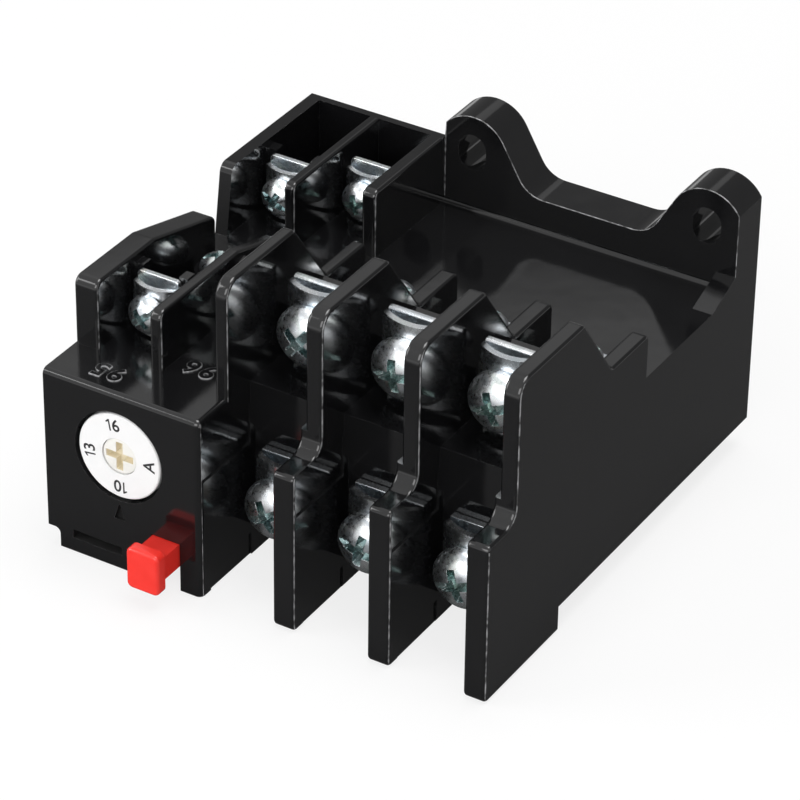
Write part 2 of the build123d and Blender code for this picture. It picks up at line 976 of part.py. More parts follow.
with BuildPart() as heater_posts:
    for centre in pole_centres:
        half = heater_post_size / 2
        block(
            (centre - half, centre + half),
            (heater_screw_depth - half, heater_screw_depth + half),
            (cavity_top - heater_post_height, cavity_top),
        )
        bore = heater_thread + 2 * thread_fit
        round_down(centre, heater_screw_depth, cavity_top, bore, heater_post_height)
heater_posts.part.label = "heater_posts"
export_step(heater_posts.part, "parts/heater_posts.step")


def contact_strip(centre, depth, edge, tip_back):
    """Auxiliary terminal: an upright plate, a tongue through the deck and a strip to the contact."""
    inward = 1 if edge < carrier_across else -1
    strip = (min(edge, edge + inward * aux_metal), max(edge, edge + inward * aux_metal))
    tongue_end = centre + inward * aux_metal
    lower = (min(edge, tongue_end), max(edge, tongue_end))
    tip = (min(edge, edge + inward * tip_length), max(edge, edge + inward * tip_length))
    with BuildPart() as terminal:
        block(
            (centre - aux_plate_width / 2, centre + aux_plate_width / 2),
            (depth, depth + aux_metal),
            (deck_height, aux_plate_top),
        )
        fillet(terminal.edges().filter_by(Axis.Y).group_by(Axis.Z)[-1], 0.6)
        block(
            (centre - tongue_width / 2, centre + tongue_width / 2),
            (depth, depth + aux_metal),
            (cavity_top - 2 * aux_metal, deck_height),
        )
        block(lower, (depth, depth + aux_metal), (tongue_floor, cavity_top - seat_gap))
        run = (min(depth, tip_back), max(depth + aux_metal, tip_back + aux_metal))
        block(strip, run, (tongue_floor, cavity_top - 4 * aux_metal))
        block(tip, (tip_back, tip_back + aux_metal), (tongue_floor, cavity_top - 4 * aux_metal))
        round_back(centre, depth, aux_screw_height, aux_thread + 2 * thread_fit, aux_metal)
    return terminal.part


# Auxiliary terminal plates with their fixed contacts
contact_strip_95 = contact_strip(centre_95, terminal_95_depth, strip_inset, nc_tip)
contact_strip_95.label = "contact_strip_95"
export_step(contact_strip_95, "parts/contact_strip_95.step")

contact_strip_96 = contact_strip(centre_96, terminal_96_depth, strip_right, nc_tip)
contact_strip_96.label = "contact_strip_96"
export_step(contact_strip_96, "parts/contact_strip_96.step")

contact_strip_97 = contact_strip(centre_97, terminal_97_depth, strip_inset, no_tip - aux_metal)
contact_strip_97.label = "contact_strip_97"
export_step(contact_strip_97, "parts/contact_strip_97.step")

contact_strip_98 = contact_strip(centre_98, terminal_98_depth, strip_right, no_tip - aux_metal)
contact_strip_98.label = "contact_strip_98"
export_step(contact_strip_98, "parts/contact_strip_98.step")

# Clamps and screws of the auxiliary terminals
aux_clamp = arched_clamp(
    aux_clamp_width,
    aux_clamp_height,
    aux_clamp_depth,
    aux_metal,
    aux_clamp_corner,
    aux_thread + 2 * slide_fit,
)
aux_screw = pan_screw(aux_thread, aux_head, aux_head_height, aux_screw_length)
aux_places = [facing(centre, depth - aux_clamp_depth, aux_screw_height) for centre, depth in tongues]

with BuildPart() as aux_clamps:
    with Locations(*aux_places):
        add(aux_clamp)
aux_clamps.part.label = "aux_clamps"
export_step(aux_clamps.part, "parts/aux_clamps.step")

with BuildPart() as aux_screws:
    with Locations(*aux_places):
        add(aux_screw)
aux_screws.part.label = "aux_screws"
export_step(aux_screws.part, "parts/aux_screws.step")

# Screw in the deck behind terminal 95
small_screw = pan_screw(aux_thread, aux_head, aux_head_height, strap_screw_length)
with BuildPart() as strap_screw:
    with Locations(at(centre_95, strap_screw_depth, strap_seat_height)):
        add(small_screw)
strap_screw.part.label = "strap_screw"
export_step(strap_screw.part, "parts/strap_screw.step")

# Screws of the bottom cover, with their heads below it
cover_screw = pan_screw(
    cover_screw_thread, cover_screw_head, cover_screw_head_height, cover_screw_length, cross=False
)
with BuildPart() as cover_screws:
    for across in cover_screws_across:
        for back in cover_screws_back:
            with Locations(Location(at(across, back, foot_height), (180, 0, 0))):
                add(cover_screw)
cover_screws.part.label = "cover_screws"
export_step(cover_screws.part, "parts/cover_screws.step")

# Setting dial: ring with the figures, shaft with its cross slot, and the eccentric behind
with BuildPart() as scale_disc:
    round_back(dial_across, dial_sink, dial_height, dial_diameter, dial_thickness, mode=Mode.ADD)
    fillet(scale_disc.edges().filter_by(GeomType.CIRCLE).group_by(Axis.Y)[0], 0.3)
    round_back(dial_across, dial_sink, dial_height, shaft_diameter + 2 * thread_fit, dial_thickness)
scale_disc.part.label = "scale_disc"
export_step(scale_disc.part, "parts/scale_disc.step")

cam_front = shaft_bracket_depth + bracket_thickness + slide_fit
shaft_end = cam_front + cam_thickness + edge_round
with BuildPart() as setting_shaft:
    round_back(dial_across, shaft_sink, dial_height, shaft_diameter, shaft_end - shaft_sink, mode=Mode.ADD)
    with BuildSketch(front(shaft_sink)):
        with Locations((dial_across, dial_height)):
            Rectangle(driver_slot_length, driver_slot_width)
            Rectangle(driver_slot_width, driver_slot_length)
    extrude(amount=-driver_slot_depth, mode=Mode.SUBTRACT)
setting_shaft.part.label = "setting_shaft"
export_step(setting_shaft.part, "parts/setting_shaft.step")

with BuildPart() as adjusting_cam:
    round_back(
        dial_across,
        cam_front,
        dial_height + cam_offset,
        cam_diameter,
        cam_thickness,
        mode=Mode.ADD,
    )
    round_back(dial_across, cam_front, dial_height, shaft_diameter + 2 * thread_fit, cam_thickness)
adjusting_cam.part.label = "adjusting_cam"
export_step(adjusting_cam.part, "parts/adjusting_cam.step")

# Reset button with its stem and rod
with BuildPart() as reset_button:
    block(
        (button_across - button_width / 2, button_across + button_width / 2),
        (stem_front - button_head, stem_front),
        (button_middle - button_height / 2, button_middle + button_height / 2),
    )
    fillet(reset_button.edges().filter_by(Axis.Y), button_round)
    fillet(reset_button.faces().sort_by(Axis.Y)[0].edges(), button_round * 0.6)
    block(
        (button_across - stem_width / 2, button_across + stem_width / 2),
        (stem_front, stem_back),
        (stem_floor, stem_floor + stem_height),
    )
    round_back(button_across, stem_back, rod_height, rod_diameter, rod_length, mode=Mode.ADD)
reset_button.part.label = "reset_button"
export_step(reset_button.part, "parts/reset_button.step")

with BuildPart() as button_clip:
    round_back(button_across, cavity_front, rod_height, clip_diameter, clip_thickness, mode=Mode.ADD)
    round_back(button_across, cavity_front, rod_height, rod_diameter + 2 * thread_fit, clip_thickness)
button_clip.part.label = "button_clip"
export_step(button_clip.part, "parts/button_clip.step")


def coil_spring(across, start, up, diameter, length, turns):
    """Coil spring that runs straight back from its first end."""
    coil_length = length - spring_wire
    with BuildPart() as spring:
        with BuildLine() as path:
            Helix(coil_length / turns, coil_length, diameter / 2)
        with BuildSketch(Plane(origin=path.line @ 0, z_dir=path.line % 0)) as wire:
            Rectangle(spring_wire, spring_wire)
        sweep(wire.sketch, path=path.line)
    return spring.part.moved(Location(at(across, start + spring_wire / 2, up), (-90, 0, 0)))


# Springs of the button and of the contact carrier
reset_spring = coil_spring(
    button_across, stem_back, rod_height, spring_diameter, button_bulkhead - stem_back, spring_turns
)
reset_spring.label = "reset_spring"
export_step(reset_spring, "parts/reset_spring.step")

carrier_spring = coil_spring(
    carrier_across,
    carrier_back,
    carrier_floor + carrier_foot_height / 2,
    carrier_spring_diameter,
    spring_post_depth - carrier_back,
    spring_turns,
)
carrier_spring.label = "carrier_spring"
export_step(carrier_spring, "parts/carrier_spring.step")

# One bimetal strip, sleeve and heater winding for each pole
bimetal_middle = bimetal_floor + bimetal_height / 2
for number, centre in enumerate(pole_centres, start=1):
    strip = (centre - bimetal_thickness / 2, centre + bimetal_thickness / 2)
    with BuildPart() as bimetal:
        block(
            strip,
            (bimetal_root, bimetal_root + bimetal_length),
            (bimetal_floor, bimetal_floor + bimetal_height),
        )
    bimetal.part.label = f"bimetal_{number}"
    export_step(bimetal.part, f"parts/bimetal_{number}.step")

    with BuildPart() as sleeve:
        with BuildSketch(front(sleeve_start)):
            with Locations((centre, bimetal_middle)):
                Rectangle(bimetal_thickness + 2 * sleeve_wall, bimetal_height + 2 * sleeve_wall)
                Rectangle(bimetal_thickness, bimetal_height, mode=Mode.SUBTRACT)
        extrude(amount=-sleeve_length)
    sleeve.part.label = f"heater_sleeve_{number}"
    export_step(sleeve.part, f"parts/heater_sleeve_{number}.step")

    inner_width = bimetal_thickness + 2 * sleeve_wall
    inner_height = bimetal_height + 2 * sleeve_wall
    with BuildPart() as heater:
        for turn in range(heater_turns):
            start = heater_start + turn * heater_pitch
            with BuildSketch(front(start)):
                with Locations((centre, bimetal_middle)):
                    Rectangle(inner_width + 2 * heater_metal, inner_height + 2 * heater_metal)
                    Rectangle(inner_width, inner_height, mode=Mode.SUBTRACT)
            extrude(amount=-heater_ribbon)
        link_top = bimetal_middle + inner_height / 2
        block(
            (centre - inner_width / 2, centre + inner_width / 2),
            (heater_start, heater_start + (heater_turns - 1) * heater_pitch + heater_ribbon),
            (link_top, link_top + heater_metal),
        )
    heater.part.label = f"heater_{number}"
    export_step(heater.part, f"parts/heater_{number}.step")

# Trip bar with a window for each strip and a nose at its left end
window_width = bimetal_thickness + 2 * slide_fit
window_height = bimetal_height + 4 * slide_fit
with BuildPart() as slider_bar:
    block(
        (bar_left, bar_right),
        (bar_depth - bar_thickness / 2, bar_depth + bar_thickness / 2),
        (bar_floor, bar_floor + bar_height),
    )
    for outward in (-1, 1):
        face = bar_depth + outward * bar_thickness / 2
        nose = bar_depth + outward * bar_nose / 2
        block(
            (bar_left, bar_left + bar_nose_length),
            (min(face, nose), max(face, nose)),
            (bar_floor, bar_floor + bar_height),
            mode=Mode.SUBTRACT,
        )
    with BuildSketch(front(bar_depth - bar_thickness / 2)):
        with Locations(*[(centre, bimetal_middle) for centre in pole_centres]):
            Rectangle(window_width, window_height)
    extrude(amount=-bar_thickness, mode=Mode.SUBTRACT)
slider_bar.part.label = "slider_bar"
export_step(slider_bar.part, "parts/slider_bar.step")

# Bell crank: one arm at the nose of the bar, the other with a peg in the carrier
with BuildPart() as trip_lever:
    with BuildSketch(level(lever_floor)):
        with Locations((lever_across, lever_pivot_depth)):
            Circle(lever_hub / 2)
        with Locations((lever_across, lever_pivot_depth + lever_arm / 2 + bar_nose / 2)):
            Rectangle(lever_width, lever_arm + bar_nose)
        with Locations((lever_across - lever_reach / 2, lever_pivot_depth)):
            Rectangle(lever_reach, lever_width)
        with Locations((carrier_across, lever_pivot_depth)):
            Circle(lever_width / 2 + edge_round)
    extrude(amount=lever_thickness)
    round_down(
        carrier_across,
        lever_pivot_depth,
        lever_floor + lever_thickness + peg_height,
        pin_diameter,
        peg_height,
        mode=Mode.ADD,
    )
    bore = pin_diameter + 2 * shaft_fit
    round_down(lever_across, lever_pivot_depth, lever_floor + lever_thickness, bore, lever_thickness)
trip_lever.part.label = "trip_lever"
export_step(trip_lever.part, "parts/trip_lever.step")

pin_top = lever_floor + lever_thickness + slide_fit + pin_head_height
with BuildPart() as lever_pin:
    round_down(lever_across, lever_pivot_depth, pin_top, pin_head, pin_head_height, mode=Mode.ADD)
    pin_length = pin_top - foot_height - cover_thickness
    round_down(lever_across, lever_pivot_depth, pin_top, pin_diameter, pin_length, mode=Mode.ADD)
lever_pin.part.label = "lever_pin"
export_step(lever_pin.part, "parts/lever_pin.step")

# Contact carrier: a foot with a slot for the peg, and a web with a window for each bridge
foot_front = carrier_back - carrier_foot_length
slot_half = pin_diameter / 2 + 2 * slide_fit
with BuildPart() as contact_carrier:
    block(
        (carrier_across - carrier_thickness / 2, carrier_across + carrier_thickness / 2),
        (carrier_front, carrier_back),
        (carrier_web_floor, carrier_top),
    )
    block(
        (carrier_across - carrier_foot_width / 2, carrier_across + carrier_foot_width / 2),
        (foot_front, carrier_back),
        (carrier_floor, carrier_floor + carrier_foot_height),
    )
    block(
        (carrier_across - carrier_thickness / 2, carrier_across + carrier_thickness / 2),
        (foot_front, carrier_back),
        (carrier_floor, carrier_web_floor),
    )
    block(
        (carrier_across - slot_half, carrier_across + slot_half),
        (
            lever_pivot_depth - pin_diameter / 2 - slide_fit,
            lever_pivot_depth + pin_diameter / 2 + slide_fit,
        ),
        (carrier_floor, carrier_floor + carrier_foot_height),
        mode=Mode.SUBTRACT,
    )
    for depth in (nc_bridge_depth, no_bridge_depth):
        block(
            (carrier_across - carrier_thickness / 2, carrier_across + carrier_thickness / 2),
            (depth - bridge_metal / 2, depth + bridge_metal / 2),
            (bridge_floor, bridge_floor + bridge_height),
            mode=Mode.SUBTRACT,
        )
contact_carrier.part.label = "contact_carrier"
export_step(contact_carrier.part, "parts/contact_carrier.step")

# Moving contact bars: the first rests on its fixed contacts, the second closes on a trip
bridge_middle = bridge_floor + bridge_height / 2
contact_reach = bridge_length / 2 - contact_diameter / 2
with BuildPart() as nc_bridge:
    block(
        (carrier_across - bridge_length / 2, carrier_across + bridge_length / 2),
        (nc_bridge_depth - bridge_metal / 2, nc_bridge_depth + bridge_metal / 2),
        (bridge_floor, bridge_floor + bridge_height),
    )
    for outward in (-1, 1):
        round_back(
            carrier_across + outward * contact_reach,
            nc_bridge_depth + bridge_metal / 2,
            bridge_middle,
            contact_diameter,
            contact_height,
            mode=Mode.ADD,
        )
nc_bridge.part.label = "nc_bridge"
export_step(nc_bridge.part, "parts/nc_bridge.step")

with BuildPart() as no_bridge:
    block(
        (carrier_across - bridge_length / 2, carrier_across + bridge_length / 2),
        (no_bridge_depth - bridge_metal / 2, no_bridge_depth + bridge_metal / 2),
        (bridge_floor, bridge_floor + bridge_height),
    )
    for outward in (-1, 1):
        round_back(
            carrier_across + outward * contact_reach,
            no_bridge_depth - bridge_metal / 2 - contact_height,
            bridge_middle,
            contact_diameter,
            contact_height,
            mode=Mode.ADD,
        )
no_bridge.part.label = "no_bridge"
export_step(no_bridge.part, "parts/no_bridge.step")
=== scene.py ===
"""Looks of a three-pole thermal overload relay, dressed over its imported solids."""

import math

import bmesh
import bpy
from mathutils import Matrix, Quaternion, Vector


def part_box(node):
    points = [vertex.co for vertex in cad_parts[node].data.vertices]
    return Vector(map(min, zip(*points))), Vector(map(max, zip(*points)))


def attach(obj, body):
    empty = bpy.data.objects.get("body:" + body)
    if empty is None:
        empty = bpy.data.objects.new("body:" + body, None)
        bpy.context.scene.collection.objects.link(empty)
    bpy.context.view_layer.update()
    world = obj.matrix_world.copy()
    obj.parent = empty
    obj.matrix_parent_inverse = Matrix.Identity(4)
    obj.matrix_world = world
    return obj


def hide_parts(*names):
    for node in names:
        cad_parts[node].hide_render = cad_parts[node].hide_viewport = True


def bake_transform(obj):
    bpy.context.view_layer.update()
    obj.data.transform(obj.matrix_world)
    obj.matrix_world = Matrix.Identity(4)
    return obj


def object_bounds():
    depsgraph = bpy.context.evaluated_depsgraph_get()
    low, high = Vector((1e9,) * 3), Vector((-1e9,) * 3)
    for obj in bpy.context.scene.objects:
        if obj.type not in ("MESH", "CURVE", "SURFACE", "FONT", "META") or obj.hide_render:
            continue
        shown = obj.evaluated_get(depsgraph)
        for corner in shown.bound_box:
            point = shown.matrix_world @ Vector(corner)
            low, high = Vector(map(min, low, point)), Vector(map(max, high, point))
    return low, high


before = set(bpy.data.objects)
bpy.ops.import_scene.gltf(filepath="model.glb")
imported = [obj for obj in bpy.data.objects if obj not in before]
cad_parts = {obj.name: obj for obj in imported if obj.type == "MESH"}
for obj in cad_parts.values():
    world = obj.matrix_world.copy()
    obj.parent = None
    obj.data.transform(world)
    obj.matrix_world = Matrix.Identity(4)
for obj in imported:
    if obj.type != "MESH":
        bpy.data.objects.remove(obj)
cad_low, cad_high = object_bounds()


# Camera: a long lens, above the front right corner of the relay, looking down at it.
# Its place and turn come from the relay's own edges as the photograph shows them.
across_middle, back_plane, slot_height = 46.5, 74.7, 38.1


def spot(across, back, up):
    """A place in metres, from millimetres off the housing's front lower left corner."""
    return Vector((across - across_middle, back - back_plane, up - slot_height)) / 1000.0


def linked(name, data):
    """A new object in the scene, at the origin and unturned."""
    thing = bpy.data.objects.new(name, data)
    bpy.context.scene.collection.objects.link(thing)
    return thing


picture_pixels, focal_pixels = 800.0, 4242.06
camera_data = bpy.data.cameras.new("camera")
camera_data.sensor_width = 36.0
camera_data.lens = camera_data.sensor_width * focal_pixels / picture_pixels
camera_data.clip_start = 0.05
camera_data.clip_end = 5.0
look = Vector((-0.43025, 0.71748, -0.54782)).normalized()
right = Vector((0.85344, 0.52104, 0.01213)).normalized()
upward = right.cross(look).normalized()
camera = linked("camera", camera_data)
camera.matrix_world = Matrix.Translation(spot(290.92, -390.47, 341.67)) @ Matrix(
    (
        (right.x, upward.x, -look.x),
        (right.y, upward.y, -look.y),
        (right.z, upward.z, -look.z),
    )
).to_4x4()
bpy.context.scene.camera = camera


# Room: a pale sheet under the relay and soft boxes round it, as on a photographer's table.
# The sheet shows white to the camera and keeps a trace of the relay's shadow.
sheet_reach, sheet_gap = 1.5, 0.0002
floor_mesh = bpy.data.meshes.new("floor")
floor_mesh.from_pydata(
    [
        (x * sheet_reach, y * sheet_reach, cad_low.z - sheet_gap)
        for x, y in ((-1, -1), (1, -1), (1, 1), (-1, 1))
    ],
    [],
    [(0, 1, 2, 3)],
)
linked("floor", floor_mesh)


def feed(tree, target, inputs):
    """Sets inputs of a node to constants, or links them to other sockets."""
    for socket, given in inputs.items():
        if isinstance(given, bpy.types.NodeSocket):
            tree.links.new(given, target.inputs[socket])
        else:
            target.inputs[socket].default_value = given


def new_node(tree, kind, inputs=None, **settings):
    """A new node with its settings and its inputs."""
    made = tree.nodes.new(kind)
    for setting, value in settings.items():
        setattr(made, setting, value)
    feed(tree, made, inputs or {})
    return made


def maths(tree, operation, a, b):
    """The outcome of one sum with two numbers or sockets."""
    return new_node(tree, "ShaderNodeMath", {0: a, 1: b}, operation=operation).outputs[0]


def ranged(tree, value, source, target, kind="LINEAR"):
    """A value carried from its source range over to a target range."""
    inputs = {"Value": value, "From Min": source[0], "From Max": source[1]}
    inputs |= {"To Min": target[0], "To Max": target[1]}
    made = new_node(tree, "ShaderNodeMapRange", inputs, interpolation_type=kind)
    return made.outputs["Result"]


def level_seen(tree, plain, mirrored, shown):
    """A value that is plain to diffuse light, mirrored to glossy rays and shown to the camera."""
    path = new_node(tree, "ShaderNodeLightPath").outputs
    bright = maths(tree, "MAXIMUM", path["Is Glossy Ray"], path["Is Transmission Ray"])
    value = plain
    for switch, level in ((bright, mirrored), (path["Is Camera Ray"], shown)):
        blend = new_node(tree, "ShaderNodeMix", {"Factor": switch, "A": value, "B": level})
        value = blend.outputs["Result"]
    return value


# painted shadow in the sheet's reflections: glossy rays see it glow dark close to the relay and
# pale further out
paper = bpy.data.materials.new("pale paper")
paper.use_nodes = True
tree = paper.node_tree
tree.nodes.clear()
place = new_node(tree, "ShaderNodeNewGeometry")
reach = new_node(
    tree, "ShaderNodeVectorMath", {0: place.outputs["Position"]}, operation="LENGTH"
)
reflected_shadow_fade = ranged(tree, reach.outputs["Value"], (0.14, 0.34), (0.05, 1.0), "SMOOTHSTEP")
diffuse = new_node(tree, "ShaderNodeBsdfDiffuse", {"Color": (0.80, 0.80, 0.80, 1)})
glow = new_node(tree, "ShaderNodeEmission", {"Strength": level_seen(tree, 0.0, reflected_shadow_fade, 1.0)})
mix = new_node(
    tree,
    "ShaderNodeMixShader",
    {0: level_seen(tree, 0.0, 0.88, 0.8), 1: diffuse.outputs[0], 2: glow.outputs[0]},
)
new_node(tree, "ShaderNodeOutputMaterial", {"Surface": mix.outputs[0]})
floor_mesh.materials.append(paper)

# the room is darker behind the relay, where its level faces mirror it
world = bpy.data.worlds.new("room")
world.use_nodes = True
bpy.context.scene.world = world
tree = world.node_tree
tree.nodes.clear()
facing = new_node(tree, "ShaderNodeTexCoord")
split = new_node(tree, "ShaderNodeSeparateXYZ", {0: facing.outputs["Generated"]})
behind = ranged(tree, split.outputs["Y"], (0.3, 0.62), (1.0, 0.25), "SMOOTHSTEP")
air = new_node(tree, "ShaderNodeBackground", {"Strength": level_seen(tree, 0.35, behind, 1.0)})
new_node(tree, "ShaderNodeOutputWorld", {"Surface": air.outputs[0]})

for name, place, target, size, power in (
    ("soft box above", (0.10, 0.10, 0.85), (0, -0.03, 0), (0.6, 0.5), 5.8),
    ("soft box left", (-0.70, -0.50, 0.40), (0, -0.04, 0), (0.5, 0.6), 4.0),
    ("soft box behind", (-0.25, 0.35, 0.42), (0, -0.05, 0), (0.4, 0.26), 0.13),
    ("soft box front", (0.15, -0.85, 0.40), (0, -0.04, 0), (0.9, 0.5), 4.6),
):
    lamp_data = bpy.data.lights.new(name, "AREA")
    lamp_data.shape = "RECTANGLE"
    lamp_data.size, lamp_data.size_y = size
    lamp_data.energy = power
    lamp = linked(name, lamp_data)
    lamp.location = place
    lamp.rotation_mode = "QUATERNION"
    lamp.rotation_quaternion = (Vector(target) - Vector(place)).to_track_quat("-Z", "Y")
bpy.context.scene.view_settings.view_transform = "Standard"


# Moulded housing: one piece of glossy black phenolic, pressed in a steel mould.
# Its edges keep a small radius from the mould, and its skin a faint ripple and grain.
# A thin, broken grey line on its rounded edges, down the front of the fins and along the ears is
# painted edge highlight, partly the grey of trimmed flash.
def evaluated_mesh(thing):
    """The mesh that an object's modifiers make, with the modifiers taken off it."""
    depsgraph = bpy.context.evaluated_depsgraph_get()
    mesh = bpy.data.meshes.new_from_object(thing.evaluated_get(depsgraph))
    thing.modifiers.clear()
    bare = thing.data
    thing.data = mesh
    bpy.data.meshes.remove(bare)
    mesh.name = thing.name
    return mesh


def rounded(thing, width, limit, sharp, edge_material=-1):
    """Rounds the edges steeper than a limit and evens the shading between sharp edges."""
    thing.data.shade_smooth()
    thing.data.set_sharp_from_angle(angle=math.radians(sharp))
    rounding = thing.modifiers.new("rounding", "BEVEL")
    rounding.width, rounding.segments = width, 2
    rounding.limit_method, rounding.angle_limit = "ANGLE", math.radians(limit)
    rounding.material = edge_material
    even = thing.modifiers.new("even shading", "WEIGHTED_NORMAL")
    even.keep_sharp = True
    return evaluated_mesh(thing)


def dressed(node, name, radius, skin, body, highlight_finish=None, lit_edges=None):
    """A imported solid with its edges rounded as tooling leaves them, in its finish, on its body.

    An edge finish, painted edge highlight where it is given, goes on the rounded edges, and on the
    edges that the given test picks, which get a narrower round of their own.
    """
    same_place, flat, steep, lit_edge_width = 3e-6, 1.0, 32.0, 0.00011
    shell = bmesh.new()
    shell.from_mesh(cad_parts[node].data)
    bmesh.ops.remove_doubles(shell, verts=shell.verts, dist=same_place)
    bmesh.ops.dissolve_limit(
        shell, angle_limit=math.radians(flat), verts=shell.verts, edges=shell.edges
    )
    for face in shell.faces:
        face.material_index = 0
    if lit_edges:
        bmesh.ops.bevel(
            shell,
            geom=[edge for edge in shell.edges if lit_edges(edge)],
            offset=lit_edge_width,
            offset_type="OFFSET",
            segments=3,
            profile=0.5,
            affect="EDGES",
            clamp_overlap=False,
            material=1,
        )
    mesh = bpy.data.meshes.new(name)
    shell.to_mesh(mesh)
    shell.free()
    mesh.materials.append(skin)
    if highlight_finish:
        mesh.materials.append(highlight_finish)
    piece = linked(name, mesh)
    rounded(piece, radius, steep, steep, 1 if highlight_finish else -1)
    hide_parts(node)
    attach(piece, body)
    return piece


def shader(name):
    """A new material with its principled shader, ready to take colour and texture."""
    material = bpy.data.materials.new(name)
    material.use_nodes = True
    tree = material.node_tree
    return material, tree, tree.nodes["Principled BSDF"]


def sockets(tree, inputs, outputs):
    """Opens a tree's named inputs, with their kinds and defaults, and its named outputs."""
    for label, kind, value in inputs:
        socket = tree.interface.new_socket(
            label, in_out="INPUT", socket_type="NodeSocket" + kind
        )
        if value is not None:
            socket.default_value = value
    for label, kind in outputs:
        tree.interface.new_socket(label, in_out="OUTPUT", socket_type="NodeSocket" + kind)
    return tree.nodes.new("NodeGroupInput").outputs, tree.nodes.new("NodeGroupOutput")


def noise(tree, scale, detail, **more):
    """Noise in the piece's own space."""
    place = new_node(tree, "ShaderNodeTexCoord")
    inputs = {"Vector": place.outputs["Object"], "Scale": scale, "Detail": detail} | more
    return new_node(tree, "ShaderNodeTexNoise", inputs).outputs["Fac"]


def colour_ramp(tree, value, *stops):
    """The colour that a value has between stops of a position and a colour."""
    ramp = new_node(tree, "ShaderNodeValToRGB", {"Fac": value})
    elements = ramp.color_ramp.elements
    for end, (position, colour) in zip(elements, (stops[0], stops[-1])):
        end.position, end.color = position, (*colour, 1)
    for position, colour in stops[1:-1]:
        elements.new(position).color = (*colour, 1)
    return ramp.outputs["Color"]


def skin_group():
    """Surface of a pressed or moulded piece: slow ripple, fine grain and patches of sheen."""
    group = bpy.data.node_groups.new("moulded skin", "ShaderNodeTree")
    given, result = sockets(
        group,
        (
            ("Ripple size", "Float", 600.0),
            ("Ripple depth", "Float", 0.05),
            ("Grain size", "Float", 9000.0),
            ("Grain depth", "Float", 0.05),
            ("Roughness low", "Float", 0.15),
            ("Roughness high", "Float", 0.3),
        ),
        (("Roughness", "Float"), ("Normal", "Vector"), ("Mottle", "Float")),
    )
    ripple = noise(group, given["Ripple size"], 2.0)
    grain = noise(group, given["Grain size"], 3.0)
    slow = new_node(
        group,
        "ShaderNodeBump",
        {"Strength": given["Ripple depth"], "Distance": 0.001, "Height": ripple},
    )
    fine = new_node(
        group,
        "ShaderNodeBump",
        {
            "Strength": given["Grain depth"],
            "Distance": 0.0001,
            "Height": grain,
            "Normal": slow.outputs["Normal"],
        },
    )
    gloss = (given["Roughness low"], given["Roughness high"])
    feed(
        group,
        result,
        {
            "Roughness": ranged(group, ripple, (0.35, 0.65), gloss),
            "Normal": fine.outputs["Normal"],
            "Mottle": ripple,
        },
    )
    return group


moulded_skin = skin_group()


def moulded(name, colour, roughness, ripple=(600.0, 0.05), grain=(9000.0, 0.05), shade=0.85):
    """A moulded plastic: its colour drifts a little, and its gloss comes and goes."""
    material, tree, principled = shader(name)
    skin = new_node(
        tree,
        "ShaderNodeGroup",
        {
            "Ripple size": ripple[0],
            "Ripple depth": ripple[1],
            "Grain size": grain[0],
            "Grain depth": grain[1],
            "Roughness low": roughness[0],
            "Roughness high": roughness[1],
        },
        node_tree=moulded_skin,
    ).outputs
    drift = new_node(
        tree,
        "ShaderNodeMix",
        {0: skin["Mottle"], 6: (*[c * shade for c in colour], 1), 7: (*colour, 1)},
        data_type="RGBA",
    )
    feed(tree, principled, {"Base Color": drift.outputs[2], "Normal": skin["Normal"]})
    feed(tree, principled, {"Roughness": skin["Roughness"]})
    return material


black_phenolic = moulded(
    "black phenolic",
    (0.006, 0.006, 0.0065),
    (0.06, 0.12),
    ripple=(150.0, 0.02),
    grain=(7000.0, 0.03),
)
black_phenolic.node_tree.nodes["Principled BSDF"].inputs["IOR"].default_value = 1.6


def edge_highlight_material():
    """Painted edge highlight: a fine grey line along an edge, matt and broken, partly the grey of
    trimmed flash.
    """
    material, tree, principled = shader("mould line")
    broken = noise(tree, 900.0, 6.0)
    dark, light = (0.38, (0.04, 0.04, 0.04)), (0.66, (0.32, 0.32, 0.33))
    feed(tree, principled, {"Base Color": colour_ramp(tree, broken, dark, light)})
    feed(tree, principled, {"Roughness": ranged(tree, broken, (0.4, 0.65), (0.15, 0.5))})
    return material


painted_edge_highlight = edge_highlight_material()
ear_front, ear_foot, ear_half_spacing, ear_slot_reach = -0.0067, -0.0055, 0.019, 0.0036


# the ears' front edges take the painted edge highlight on a narrower round
def ear_lit_edge(edge):
    """Whether an edge bounds the front face of the ears; their slots and their foot don't."""
    start, end = (corner.co for corner in edge.verts)
    middle = (start + end) / 2
    flush = abs(start.y - ear_front) < 2e-5 and abs(end.y - ear_front) < 2e-5
    above_foot = max(start.z, end.z) >= ear_foot
    clear_of_slots = all(
        math.hypot(middle.x - across, middle.z) >= ear_slot_reach
        for across in (-ear_half_spacing, ear_half_spacing)
    )
    return flush and above_foot and clear_of_slots and edge.calc_face_angle(0.0) > 0.55


housing = dressed(
    "housing",
    "moulded_housing",
    0.00022,
    black_phenolic,
    "base",
    highlight_finish=painted_edge_highlight,
    lit_edges=ear_lit_edge,
)
# the floors of the index mark and the label slot take a near-black matt finish, painted shade that
# makes them read deeper
housing.data.materials.append(moulded("shaded recess", (0.002, 0.002, 0.002), (0.6, 0.8)))
highlight_index, painted_shade_index, strip_width = 1, 2, 0.00012
ends = housing.data.vertices
